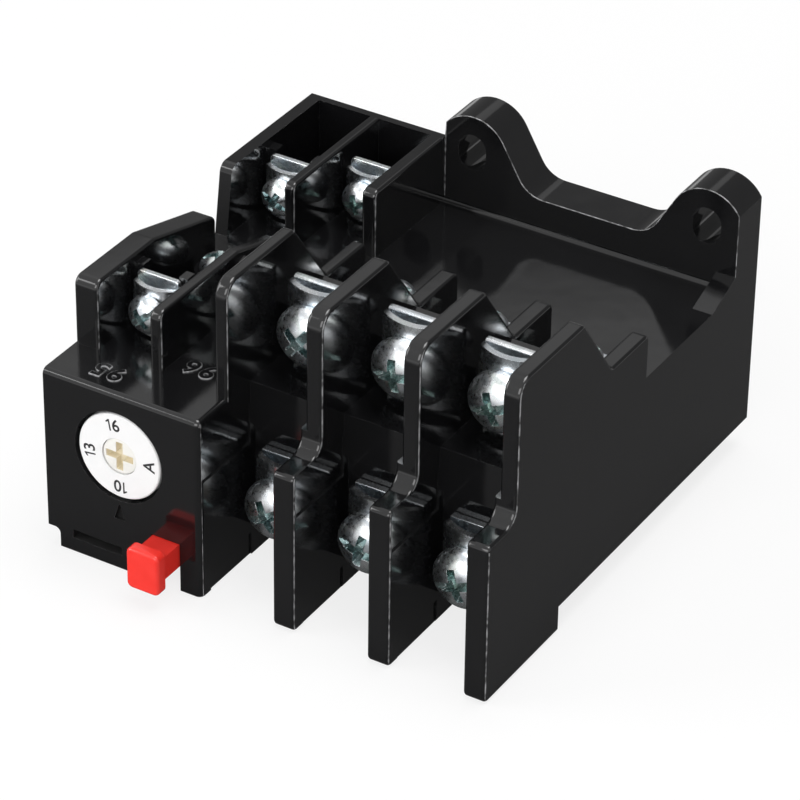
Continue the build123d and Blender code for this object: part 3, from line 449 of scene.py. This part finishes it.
# places are in millimetres off the housing's front lower left corner
for face in housing.data.polygons:
    place = face.center * 1000.0 + Vector((across_middle, back_plane, slot_height))
    longest = max((ends[a].co - ends[b].co).length for a, b in face.edge_keys)
    # thin strips on the right front arris of the fins take the painted edge highlight
    on_fin = face.normal.x > 0.75 and -0.7 < face.normal.y < -0.3 and place.y < 60
    if face.area / longest < strip_width and on_fin:
        face.material_index = highlight_index
    # faces in the index mark and the label slot take the painted shade
    in_index = 10.9 < place.x < 13.5 and 7.5 < place.z < 11.6
    in_slot = 4.0 < place.x < 12.5 and 2.0 < place.z < 3.8
    if 0.04 < place.y < 2.2 and (in_index or in_slot):
        face.material_index = painted_shade_index


# Bottom cover: a thin moulded plate of the same black, sunk into the underside.
# It carries the guides and the boss of the mechanism on its inner side.
dressed("bottom_cover", "moulded_cover", 0.00015, black_phenolic, "base")


# Terminal metal: blanked and bent steel, barrel plated in bright zinc.
# The passivated plate shows cool blue and faint green and straw patches and fine tumble marks.
def plated_group():
    """Colour and surface of bright zinc plate."""
    group = bpy.data.node_groups.new("bright zinc", "ShaderNodeTree")
    given, result = sockets(
        group,
        (
            ("Patch size", "Float", 900.0),
            ("Mark size", "Float", 4000.0),
            ("Mark depth", "Float", 0.2),
            ("Roughness low", "Float", 0.2),
            ("Roughness high", "Float", 0.35),
        ),
        (("Color", "Color"), ("Roughness", "Float"), ("Normal", "Vector")),
    )
    patch = noise(group, given["Patch size"], 4.0, Distortion=0.6)
    mark = noise(group, given["Mark size"], 5.0, Roughness=0.65)
    tint = colour_ramp(
        group,
        patch,
        (0.3, (0.66, 0.74, 0.78)),
        (0.42, (0.76, 0.80, 0.84)),
        (0.52, (0.88, 0.90, 0.92)),
        (0.62, (0.78, 0.85, 0.84)),
        (0.72, (0.86, 0.84, 0.80)),
    )
    dents = new_node(
        group,
        "ShaderNodeBump",
        {"Strength": given["Mark depth"], "Distance": 0.0002, "Height": mark},
    )
    dull = (given["Roughness low"], given["Roughness high"])
    feed(group, result, {"Color": tint, "Normal": dents.outputs["Normal"]})
    feed(group, result, {"Roughness": ranged(group, mark, (0.35, 0.7), dull)})
    return group


bright_zinc_plate = plated_group()


def plated(name, patch=900.0, mark=4000.0, depth=0.2, roughness=(0.2, 0.35), tint=(1, 1, 1)):
    """Zinc-plated steel with its own size of patches and marks, its gloss and its tint."""
    material, tree, principled = shader(name)
    plate = new_node(
        tree,
        "ShaderNodeGroup",
        {
            "Patch size": patch,
            "Mark size": mark,
            "Mark depth": depth,
            "Roughness low": roughness[0],
            "Roughness high": roughness[1],
        },
        node_tree=bright_zinc_plate,
    ).outputs
    tinted = new_node(
        tree,
        "ShaderNodeMix",
        {0: 1.0, 6: plate["Color"], 7: (*tint, 1)},
        data_type="RGBA",
        blend_type="MULTIPLY",
    )
    feed(tree, principled, {"Metallic": 1.0, "Base Color": tinted.outputs[2]})
    feed(tree, principled, {"Roughness": plate["Roughness"], "Normal": plate["Normal"]})
    return material


zinc_sheet = plated("zinc sheet", patch=160.0, mark=900.0, depth=0.008, roughness=(0.22, 0.32))
zinc_screw = plated("zinc screw", patch=380.0, mark=1800.0, depth=0.04, roughness=(0.22, 0.4))
# a darker, bluish zinc for the faces in the cross and slot of each head
zinc_recess = plated(
    "passivated recess", patch=300.0, mark=900.0, depth=0.01, tint=(0.55, 0.63, 0.61)
)
for node in [f"{side}_terminal_{pole}" for side in ("line", "load") for pole in (1, 2, 3)]:
    dressed(node, node + "_strap", 0.00012, zinc_sheet, "base")
for node, name, radius in (
    ("main_clamps", "cupped_main_clamps", 0.0002),
    ("aux_clamps", "cupped_aux_clamps", 0.00012),
):
    dressed(node, name, radius, zinc_sheet, "base")


# Screws: cold-headed steel with a rolled thread, plated like the clamps.
# Each head has a cross and a slot struck into it, and no two stopped at the same turn.
def lathed(name, outline, steps, axis):
    """A closed body turned about an axis, from pairs of radius and height, its ends at radius 0."""
    lathe = bmesh.new()
    rings = []
    for radius, height in outline:
        rings.append([])
        for k in range(steps if radius else 1):
            angle = 2 * math.pi * k / steps
            place = [radius * math.cos(angle), radius * math.sin(angle)]
            place.insert(axis, height)
            rings[-1].append(lathe.verts.new(place))
    for near, far in zip(rings, rings[1:]):
        for k in range(steps):
            corners = [near[k % len(near)], near[(k + 1) % len(near)]]
            corners += [far[(k + 1) % len(far)], far[k % len(far)]]
            lathe.faces.new(list(dict.fromkeys(corners)))
    bmesh.ops.recalc_face_normals(lathe, faces=lathe.faces)
    mesh = bpy.data.meshes.new(name)
    lathe.to_mesh(mesh)
    lathe.free()
    return linked(name, mesh)


def struck(body, inward, cuts):
    """Cuts boxes out of a body: two opposite corners, and how each narrows at its inner end."""
    for number, (low, high, taper) in enumerate(cuts):
        middle, size = (Vector(low) + Vector(high)) / 2, Vector(high) - Vector(low)
        cut = bmesh.new()
        bmesh.ops.create_cube(cut, size=1.0)
        for corner in cut.verts:
            if corner.co.dot(inward) > 0:
                corner.co *= Vector(taper)
            corner.co = middle + corner.co * size
        cut_mesh = bpy.data.meshes.new(f"{body.name}_cut_{number}")
        cut.to_mesh(cut_mesh)
        cut.free()
        cutter = linked(cut_mesh.name, cut_mesh)
        strike = body.modifiers.new("strike", "BOOLEAN")
        strike.solver = "EXACT"
        strike.object = cutter
        evaluated_mesh(body)
        bpy.data.objects.remove(cutter)


def head_blank(name, diameter, height, slot_width, cross=True):
    """Head of one screw, standing on its underside, with its recess cut."""
    radius, rim = diameter / 2, 0.2
    outline = [(0, 0), (0.42, 0), (0.95, 0), (1, 0.06), (1, rim)]
    outline += [
        (math.cos(math.radians(slope)), rim + (1 - rim) * math.sin(math.radians(slope)))
        for slope in (12, 24, 36, 48, 60, 70, 80)
    ]
    outline.append((0, 1))
    head = lathed(name, [(radius * r, height * z) for r, z in outline], 48, axis=2)

    def cut(half_length, half_width, depth, taper):
        low = (-half_length, -half_width, height * (1 - depth))
        return low, (half_length, half_width, height * 1.01), taper

    arm, half_arm = diameter * 0.3, slot_width * 0.85
    cuts = [cut(diameter * 0.6, slot_width / 2, 0.36, (1, 1, 1))]
    if cross:
        cuts.append(cut(arm, half_arm, 0.66, (0.6, 1, 1)))
        cuts.append(cut(half_arm, arm, 0.66, (0.6, 0.6, 1)))
    struck(head, Vector((0, 0, -1)), cuts)
    recess = head.data.attributes.new("recess", "BOOLEAN", "FACE")
    for face in head.data.polygons:
        rise = face.center.z / height
        if rise > 0.1:
            dome = radius * math.sqrt(max(0, 1 - (max(0, rise - rim) / (1 - rim)) ** 2))
            recess.data[face.index].value = face.center.xy.length < dome - 0.04 * radius
    # the second material only marks the worn edges, which keep the outer finish
    for skin in (zinc_screw, zinc_recess):
        head.data.materials.append(skin)
    mesh = rounded(head, diameter * 0.014, 40, 40, edge_material=1)
    for face in mesh.polygons:
        if face.material_index == 1:
            mesh.attributes["recess"].data[face.index].value = False
    return head


def screw_tree():
    """Sets a head with its rolled thread on every place it is given."""
    tree = bpy.data.node_groups.new("screws", "GeometryNodeTree")
    given, result = sockets(
        tree,
        (
            ("Places", "Geometry", None),
            ("Head", "Object", None),
            ("Thread diameter", "Float", 0.004),
            ("Thread pitch", "Float", 0.0007),
            ("Thread length", "Float", 0.01),
            ("Finish", "Material", None),
            ("Recess finish", "Material", None),
        ),
        (("Screws", "Geometry"),),
    )

    def lowered(mesh, share):
        """A mesh sunk by a share of the thread's length."""
        drop = maths(tree, "MULTIPLY", given["Thread length"], -share)
        sink = new_node(tree, "ShaderNodeCombineXYZ", {"Z": drop})
        moves = {"Geometry": mesh, "Translation": sink.outputs[0]}
        return new_node(tree, "GeometryNodeTransform", moves).outputs["Geometry"]

    def named(attribute, kind):
        """An attribute of the geometry, by its name."""
        inputs = {"Name": attribute}
        source = new_node(tree, "GeometryNodeInputNamedAttribute", inputs, data_type=kind)
        return source.outputs["Attribute"]

    head = new_node(tree, "GeometryNodeObjectInfo", {"Object": given["Head"]})
    depth = maths(tree, "MULTIPLY", given["Thread pitch"], 0.3)
    half = maths(tree, "MULTIPLY", given["Thread diameter"], 0.5)
    core_radius = maths(tree, "SUBTRACT", half, depth)
    core = new_node(
        tree,
        "GeometryNodeMeshCylinder",
        {"Vertices": 24, "Radius": core_radius, "Depth": given["Thread length"]},
    )
    run = maths(tree, "MULTIPLY", given["Thread length"], 0.9)
    helix = new_node(
        tree,
        "GeometryNodeCurveSpiral",
        {
            "Resolution": 18,
            "Rotations": maths(tree, "DIVIDE", run, given["Thread pitch"]),
            "Start Radius": core_radius,
            "End Radius": core_radius,
            "Height": run,
        },
    )
    ridge = new_node(
        tree, "GeometryNodeCurvePrimitiveCircle", {"Resolution": 4, "Radius": depth}
    )
    wound = new_node(
        tree,
        "GeometryNodeCurveToMesh",
        {
            "Curve": helix.outputs["Curve"],
            "Profile Curve": ridge.outputs["Curve"],
            "Fill Caps": True,
        },
    )
    whole = new_node(tree, "GeometryNodeJoinGeometry")
    for part in (
        head.outputs["Geometry"],
        lowered(core.outputs["Mesh"], 0.5),
        lowered(wound.outputs["Mesh"], 0.97),
    ):
        tree.links.new(part, whole.inputs["Geometry"])
    driven = new_node(
        tree,
        "GeometryNodeInstanceOnPoints",
        {
            "Points": given["Places"],
            "Instance": whole.outputs["Geometry"],
            "Rotation": named("aim", "FLOAT_VECTOR"),
        },
    )
    real = new_node(
        tree, "GeometryNodeRealizeInstances", {"Geometry": driven.outputs["Instances"]}
    )
    outer = new_node(
        tree,
        "GeometryNodeSetMaterial",
        {"Geometry": real.outputs["Geometry"], "Material": given["Finish"]},
    )
    inner = new_node(
        tree,
        "GeometryNodeSetMaterial",
        {
            "Geometry": outer.outputs["Geometry"],
            "Selection": named("recess", "BOOLEAN"),
            "Material": given["Recess finish"],
        },
    )
    feed(tree, result, {"Screws": inner.outputs["Geometry"]})
    return tree


def grown(name, mesh, tree, values):
    """A new object with the plain mesh that a geometry tree makes from its named inputs."""
    thing = linked(name, mesh)
    modifier = thing.modifiers.new(tree.name, "NODES")
    modifier.node_group = tree
    for item in tree.interface.items_tree:
        if item.item_type == "SOCKET" and item.in_out == "INPUT" and item.name in values:
            modifier[item.identifier] = values[item.name]
    evaluated_mesh(thing)
    return thing


screws_tree = screw_tree()


def screws(name, node, places, head, thread, pitch, length):
    """A set of screws in one mesh; each place is a point, a direction and a turn in degrees."""
    points = bpy.data.meshes.new(name + "_places")
    points.from_pydata([place for place, _, _ in places], [], [])
    aim = points.attributes.new("aim", "FLOAT_VECTOR", "POINT")
    for item, (_, direction, turn) in zip(aim.data, places):
        facing = Vector(direction).to_track_quat("Z", "Y")
        item.vector = (facing @ Quaternion((0, 0, 1), math.radians(turn))).to_euler()
    values = {
        "Head": head,
        "Thread diameter": thread,
        "Thread pitch": pitch,
        "Thread length": length,
        "Finish": zinc_screw,
        "Recess finish": zinc_recess,
    }
    driven = grown(name, points, screws_tree, values)
    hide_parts(node)
    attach(driven, "base")


poles = (31.7, 46.7, 61.7)
toward_viewer, upward_axis, downward_axis = (0, -1, 0), (0, 0, 1), (0, 0, -1)
main_head = head_blank("main_head", diameter=0.0091, height=0.0033, slot_width=0.0008)
screws(
    "terminal_screws",
    "main_screws",
    [(spot(x, 17.8, 35.5), toward_viewer, turn) for x, turn in zip(poles, (52, 8, 20))]
    + [(spot(x, 9.6, 11.9), toward_viewer, turn) for x, turn in zip(poles, (30, -12, 20))],
    main_head,
    thread=0.004,
    pitch=0.0007,
    length=0.01,
)
aux_head = head_blank("aux_head", diameter=0.0057, height=0.0024, slot_width=0.0006)
screws(
    "aux_terminal_screws",
    "aux_screws",
    [
        (spot(8.05, 14.1, 32.9), toward_viewer, 40),
        (spot(18.85, 23.1, 32.9), toward_viewer, 10),
        (spot(6.25, 50.4, 32.9), toward_viewer, -25),
        (spot(16.45, 55.9, 32.9), toward_viewer, 15),
    ],
    aux_head,
    thread=0.003,
    pitch=0.0005,
    length=0.007,
)
heater_head = head_blank("heater_head", diameter=0.0062, height=0.0024, slot_width=0.0006)
screws(
    "deck_screws",
    "heater_screws",
    [(spot(x, 39.6, 29.9), upward_axis, turn) for x, turn in zip(poles, (15, 70, 38))],
    heater_head,
    thread=0.0035,
    pitch=0.0006,
    length=0.008,
)
screws(
    "rear_strap_screw",
    "strap_screw",
    [(spot(8.05, 31.5, 30.9), upward_axis, 25)],
    aux_head,
    thread=0.003,
    pitch=0.0005,
    length=0.005,
)
cover_head = head_blank(
    "cover_head", diameter=0.0046, height=0.0016, slot_width=0.0007, cross=False
)
screws(
    "underside_screws",
    "cover_screws",
    [
        (spot(x, y, 4.1), downward_axis, turn)
        for x, y, turn in ((4.2, 25.5, 10), (66.3, 25.5, 65), (4.2, 69.0, -30), (66.3, 69.0, 48))
    ],
    cover_head,
    thread=0.0025,
    pitch=0.0009,
    length=0.008,
)
for blank in (main_head, aux_head, heater_head, cover_head):
    bpy.data.objects.remove(blank)


# Setting dial: a white moulded disc that turns in the recess of the block.
# Its figures stand with their tops outward and are printed in black.
white_moulding = moulded("white moulding", (0.80, 0.80, 0.80), (0.3, 0.42), shade=0.97)
dressed("scale_disc", "scale_disc_moulding", 0.00012, white_moulding, "dial")

# outline of the figure one and the widths of figures, all as shares of the lettering's size
figure_one = (
    (0.05, 0),
    (0.14, 0),
    (0.14, 0.7),
    (0.08, 0.7),
    (-0.1, 0.58),
    (-0.1, 0.49),
    (0.05, 0.56),
)
one_width, other_width = 0.24, 0.62


def lettering(name, text, size, place, turn, tilt, thickness=0.00002, bold=0.0, rounding=0.0):
    """Lettering as a closed mesh, centred on its place; the turn and tilt are in degrees."""
    gathered = bmesh.new()
    start = 0.0
    for letter in text:
        if letter == "1":
            back, front = (
                [
                    gathered.verts.new((start + across * size, up * size, level * thickness / 2))
                    for across, up in figure_one
                ]
                for level in (-1, 1)
            )
            gathered.faces.new(front)
            gathered.faces.new(back[::-1])
            for k in range(len(figure_one)):
                after = (k + 1) % len(figure_one)
                gathered.faces.new((back[k], back[after], front[after], front[k]))
            start += one_width * size
            continue
        curve = bpy.data.curves.new(name, "FONT")
        curve.body = letter
        curve.size = size
        curve.resolution_u = 6
        curve.offset = bold
        curve.extrude = thickness / 2
        curve.bevel_depth = rounding
        curve.bevel_resolution = 2
        drawn = linked(name, curve)
        depsgraph = bpy.context.evaluated_depsgraph_get()
        mesh = bpy.data.meshes.new_from_object(drawn.evaluated_get(depsgraph))
        bpy.data.objects.remove(drawn)
        mesh.transform(Matrix.Translation((start, 0, 0)))
        start += other_width * size
        gathered.from_mesh(mesh)
        bpy.data.meshes.remove(mesh)
    whole = bpy.data.meshes.new(name)
    gathered.to_mesh(whole)
    gathered.free()
    xs = [v.co.x for v in whole.vertices]
    ys = [v.co.y for v in whole.vertices]
    centring = Matrix.Translation((-(min(xs) + max(xs)) / 2, -(min(ys) + max(ys)) / 2, 0))
    whole.transform(
        Matrix.Translation(place)
        @ Matrix.Rotation(math.radians(tilt), 4, "X")
        @ Matrix.Rotation(math.radians(turn), 4, "Z")
        @ centring
    )
    return whole


def joined(name, meshes, material):
    """Several meshes as one piece of one material."""
    gathered = bmesh.new()
    for mesh in meshes:
        gathered.from_mesh(mesh)
        bpy.data.meshes.remove(mesh)
    bmesh.ops.remove_doubles(gathered, verts=gathered.verts, dist=1e-7)
    bmesh.ops.recalc_face_normals(gathered, faces=gathered.faces)
    whole = bpy.data.meshes.new(name)
    gathered.to_mesh(whole)
    gathered.free()
    whole.materials.append(material)
    return linked(name, whole)


dial_across, dial_front, dial_up, figure_ring, print_sink = 12.2, 0.2, 18.5, 4.9, 0.005
figure_ink = moulded("black print", (0.02, 0.02, 0.022), (0.45, 0.6), shade=0.8)
figures = joined(
    "scale_figures",
    [
        lettering(
            f"figure_{figure}",
            figure,
            0.0026,
            spot(
                dial_across + figure_ring * math.cos(math.radians(angle)),
                dial_front - print_sink,
                dial_up + figure_ring * math.sin(math.radians(angle)),
            ),
            angle + turn,
            90,
            bold=0.00004,
        )
        for figure, angle, turn in (
            ("16", 100.8, -90),
            ("13", 187.0, -90),
            ("10", 271.0, -90),
            ("A", 1.3, 90),
        )
    ],
    figure_ink,
)
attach(figures, "dial")


# Setting shaft: a cream moulded pin through the middle of the disc.
# A screwdriver turns it by the cross in its end; the eccentric sits behind, inside the housing.
cream_moulding = moulded("cream moulding", (0.78, 0.77, 0.73), (0.35, 0.5), shade=0.95)
# a darker tan cream, painted shade for the inside of the cross in the shaft's end
painted_cross_shade = moulded("struck cream", (0.78, 0.70, 0.52), (0.4, 0.5), shade=0.92)
shaft_low, shaft_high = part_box("setting_shaft")
shaft_middle = (shaft_low + shaft_high) / 2
shaft_radius = (shaft_high.x - shaft_low.x) / 2
shaft_run = shaft_high.y - shaft_low.y
shaft = lathed(
    "setting_shaft_moulding",
    [
        (0, 0),
        (shaft_radius - 0.0003, 0),
        (shaft_radius - 0.0001, 0.00008),
        (shaft_radius, 0.0003),
        (shaft_radius, shaft_run - 0.0004),
        (shaft_radius - 0.0004, shaft_run),
        (0, shaft_run),
    ],
    64,
    axis=1,
)
arm, half_arm, cross_depth, narrowed = 0.00245, 0.0006, 0.0012, (0.8, 1, 0.8)
struck(
    shaft,
    Vector((0, 1, 0)),
    [
        ((-arm, -0.001, -half_arm), (arm, cross_depth, half_arm), narrowed),
        ((-half_arm, -0.001, -arm), (half_arm, cross_depth, arm), narrowed),
    ],
)
rounded(shaft, 0.00008, 40, 50)
shaft.data.materials.clear()
shaft.data.materials.append(cream_moulding)
shaft.data.materials.append(painted_cross_shade)
# faces inside the cross take the painted shade
for face in shaft.data.polygons:
    in_cross = face.center.xz.length < arm and 0.0001 < face.center.y < cross_depth + 0.0001
    face.material_index = 1 if in_cross else 0
shaft.data.transform(Matrix.Translation((shaft_middle.x, shaft_low.y, shaft_middle.z)))
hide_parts("setting_shaft")
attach(shaft, "dial")
dressed("adjusting_cam", "eccentric", 0.00015, cream_moulding, "dial")


# Reset button: glossy red moulding with well-rounded edges on a long stem.
# A pressed-on ring holds it back against its spring.
red_moulding = moulded(
    "red moulding", (0.86, 0.035, 0.025), (0.16, 0.26), ripple=(500.0, 0.04), shade=0.9
)
dressed("reset_button", "red_reset_button", 0.00012, red_moulding, "button")
dressed("button_clip", "stem_ring", 0.00006, zinc_sheet, "button")


# Coil springs: hard-drawn spring wire, wound with closed end turns.
# One pushes the button out, the other pushes the contact carrier to rest.
def coil_tree():
    """A coil of round wire along +Y from the origin, with its end turns lying closed."""
    tree = bpy.data.node_groups.new("coil", "GeometryNodeTree")
    given, result = sockets(
        tree,
        (
            ("Wire", "Float", 0.00045),
            ("Diameter", "Float", 0.003),
            ("Length", "Float", 0.007),
            ("Turns", "Float", 4.0),
            ("Finish", "Material", None),
        ),
        (("Spring", "Geometry"),),
    )
    radius = maths(tree, "MULTIPLY", given["Diameter"], 0.5)
    wire_radius = maths(tree, "MULTIPLY", given["Wire"], 0.5)
    rise = maths(tree, "SUBTRACT", given["Length"], given["Wire"])
    helix = new_node(
        tree,
        "GeometryNodeCurveSpiral",
        {
            "Resolution": 36,
            "Rotations": given["Turns"],
            "Start Radius": radius,
            "End Radius": radius,
            "Height": rise,
        },
    )
    # the height of each point eases at both ends, which closes the end turns
    along = new_node(tree, "GeometryNodeSplineParameter").outputs["Factor"]
    eased = ranged(tree, along, (0.0, 1.0), (0.0, 1.0), "SMOOTHSTEP")
    place = new_node(tree, "GeometryNodeInputPosition")
    parts = new_node(tree, "ShaderNodeSeparateXYZ", {0: place.outputs[0]}).outputs
    height = maths(tree, "ADD", wire_radius, maths(tree, "MULTIPLY", eased, rise))
    turned = new_node(
        tree, "ShaderNodeCombineXYZ", {"X": parts["X"], "Y": height, "Z": parts["Y"]}
    )
    moved = new_node(
        tree,
        "GeometryNodeSetPosition",
        {"Geometry": helix.outputs["Curve"], "Position": turned.outputs[0]},
    )
    section = new_node(
        tree, "GeometryNodeCurvePrimitiveCircle", {"Resolution": 12, "Radius": wire_radius}
    )
    drawn = new_node(
        tree,
        "GeometryNodeCurveToMesh",
        {
            "Curve": moved.outputs["Geometry"],
            "Profile Curve": section.outputs["Curve"],
            "Fill Caps": True,
        },
    )
    real = new_node(tree, "GeometryNodeRealizeInstances", {"Geometry": drawn.outputs["Mesh"]})
    smooth = new_node(
        tree, "GeometryNodeSetShadeSmooth", {"Geometry": real.outputs["Geometry"]}
    )
    finish = new_node(
        tree,
        "GeometryNodeSetMaterial",
        {"Geometry": smooth.outputs["Geometry"], "Material": given["Finish"]},
    )
    feed(tree, result, {"Spring": finish.outputs["Geometry"]})
    return tree


coil = coil_tree()
spring_wire = plated("spring wire", patch=1500.0, mark=9000.0, depth=0.1)
for node, name, bodies, diameter, turns in (
    ("reset_spring", "button_return_spring", ("button", "base"), 0.0029, 5.0),
    ("carrier_spring", "carrier_return_spring", ("carrier", "base"), 0.0024, 5.0),
):
    low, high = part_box(node)
    near_end = ((low.x + high.x) / 2, low.y, (low.z + high.z) / 2)
    values = {
        "Wire": 0.00045,
        "Diameter": diameter,
        "Length": high.y - low.y,
        "Turns": turns,
        "Finish": spring_wire,
    }
    spring = grown(name, bpy.data.meshes.new(name), coil, values)
    spring.data.transform(Matrix.Translation(near_end))
    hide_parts(node)
    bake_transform(spring)


# Control-circuit strips: copper alloy blanked with a seat for the clamp at the end.
# Their surface is silvery and slightly drawn along its length.
nickel_silver = plated("nickel silver", patch=600.0, mark=5200.0, depth=0.15)
for number in (95, 96, 97, 98):
    strip, name = f"contact_strip_{number}", f"control_strip_{number}"
    dressed(strip, name, 0.0001, nickel_silver, "base")


# Bimetal strips: two alloys rolled into one band, with heaters wound over a glass-fibre sleeve.
# The band bends as the winding warms it and pushes the trip bar.
def dull_metal(name, dark, light, scale, roughness):
    """A bare metal with slow stains of heat or handling."""
    material, tree, principled = shader(name)
    stain = noise(tree, scale, 5.0)
    feed(
        tree,
        principled,
        {
            "Base Color": colour_ramp(tree, stain, (0.35, dark), (0.65, light)),
            "Roughness": ranged(tree, stain, (0.0, 1.0), roughness),
            "Metallic": 1.0,
        },
    )
    return material


def woven_glass():
    """White glass-fibre braid, two sets of threads that cross on the slant."""
    material, tree, principled = shader("woven glass")
    place = new_node(tree, "ShaderNodeTexCoord")
    heights = []
    for slant in (0.7, -0.7):
        turned = new_node(
            tree,
            "ShaderNodeMapping",
            {"Vector": place.outputs["Object"], "Rotation": (slant, 0.0, slant)},
        )
        threads = new_node(
            tree,
            "ShaderNodeTexWave",
            {"Vector": turned.outputs["Vector"], "Scale": 700.0, "Distortion": 0.6},
        )
        heights.append(threads.outputs["Fac"])
    crossing = maths(tree, "MAXIMUM", *heights)
    hollow, thread = (0.0, (0.45, 0.42, 0.36)), (1.0, (0.82, 0.80, 0.74))
    relief = new_node(tree, "ShaderNodeBump", {"Distance": 0.0002, "Height": crossing})
    feed(tree, principled, {"Base Color": colour_ramp(tree, crossing, hollow, thread)})
    feed(tree, principled, {"Normal": relief.outputs["Normal"], "Roughness": 0.7})
    return material


bimetal_skin = dull_metal(
    "bimetal", (0.50, 0.46, 0.40), (0.62, 0.60, 0.57), scale=300.0, roughness=(0.28, 0.45)
)
heater_skin = dull_metal(
    "heater alloy", (0.22, 0.20, 0.19), (0.36, 0.33, 0.30), scale=700.0, roughness=(0.35, 0.6)
)
glass_skin = woven_glass()
for number in (1, 2, 3):
    for node, name, skin, slot, edge in (
        (f"bimetal_{number}", f"bimetal_band_{number}", bimetal_skin, "bimetal", 0.0001),
        (f"heater_sleeve_{number}", f"glass_sleeve_{number}", glass_skin, "glass_sleeve", 0.0001),
        (f"heater_{number}", f"heater_winding_{number}", heater_skin, "heater_metal", 0.00008),
    ):
        dressed(node, name, edge, skin, f"strip_{number}")


# Brass posts under the deck: turned blocks, tapped for the deck screws.
# They clamp each rear strap from below.
brass = dull_metal(
    "brass", (0.62, 0.44, 0.18), (0.74, 0.56, 0.26), scale=420.0, roughness=(0.22, 0.38)
)
dressed("heater_posts", "tapped_posts", 0.00015, brass, "base")


# Tripping mechanism: pale glass-filled mouldings, the bar, the lever and the contact carrier.
# The lever turns on a steel pin, and the carrier holds the two contact bridges.
pale_moulding = moulded(
    "pale moulding", (0.62, 0.60, 0.53), (0.4, 0.55), grain=(12000.0, 0.3), shade=0.9
)
pin_steel = plated("pin steel", patch=1200.0, mark=7000.0, depth=0.1)
for node, name, body, skin, slot in (
    ("slider_bar", "trip_bar_moulding", "bar", pale_moulding, "inner_plastic"),
    ("trip_lever", "trip_lever_moulding", "lever", pale_moulding, "inner_plastic"),
    ("lever_pin", "steel_pin", "base", pin_steel, "spring_steel"),
    ("contact_carrier", "carrier_moulding", "carrier", pale_moulding, "inner_plastic"),
    ("nc_bridge", "closed_bridge", "carrier", nickel_silver, "contact_metal"),
    ("no_bridge", "open_bridge", "carrier", nickel_silver, "contact_metal"),
):
    dressed(node, name, 0.0001, skin, body)


# Terminal numbers: figures that the mould raises on the top of the block.
# They read from behind, so they stand upside down in the front view.
block_top, number_height = 28.7, 0.0002
numbers = joined(
    "raised_numbers",
    [
        lettering(
            f"number_{text}",
            text,
            0.0043,
            spot(across, back, block_top),
            180,
            0,
            thickness=number_height,
            bold=0.0001,
            rounding=0.0001,
        )
        for text, across, back in (("95", 8.28, 3.96), ("96", 18.42, 11.04))
    ],
    black_phenolic,
)
# the sides of the raised figures take the painted edge highlight, which outlines them
numbers.data.materials.append(painted_edge_highlight)
for face in numbers.data.polygons:
    face.material_index = 1 if abs(face.normal.z) < 0.97 else 0
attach(numbers, "base")
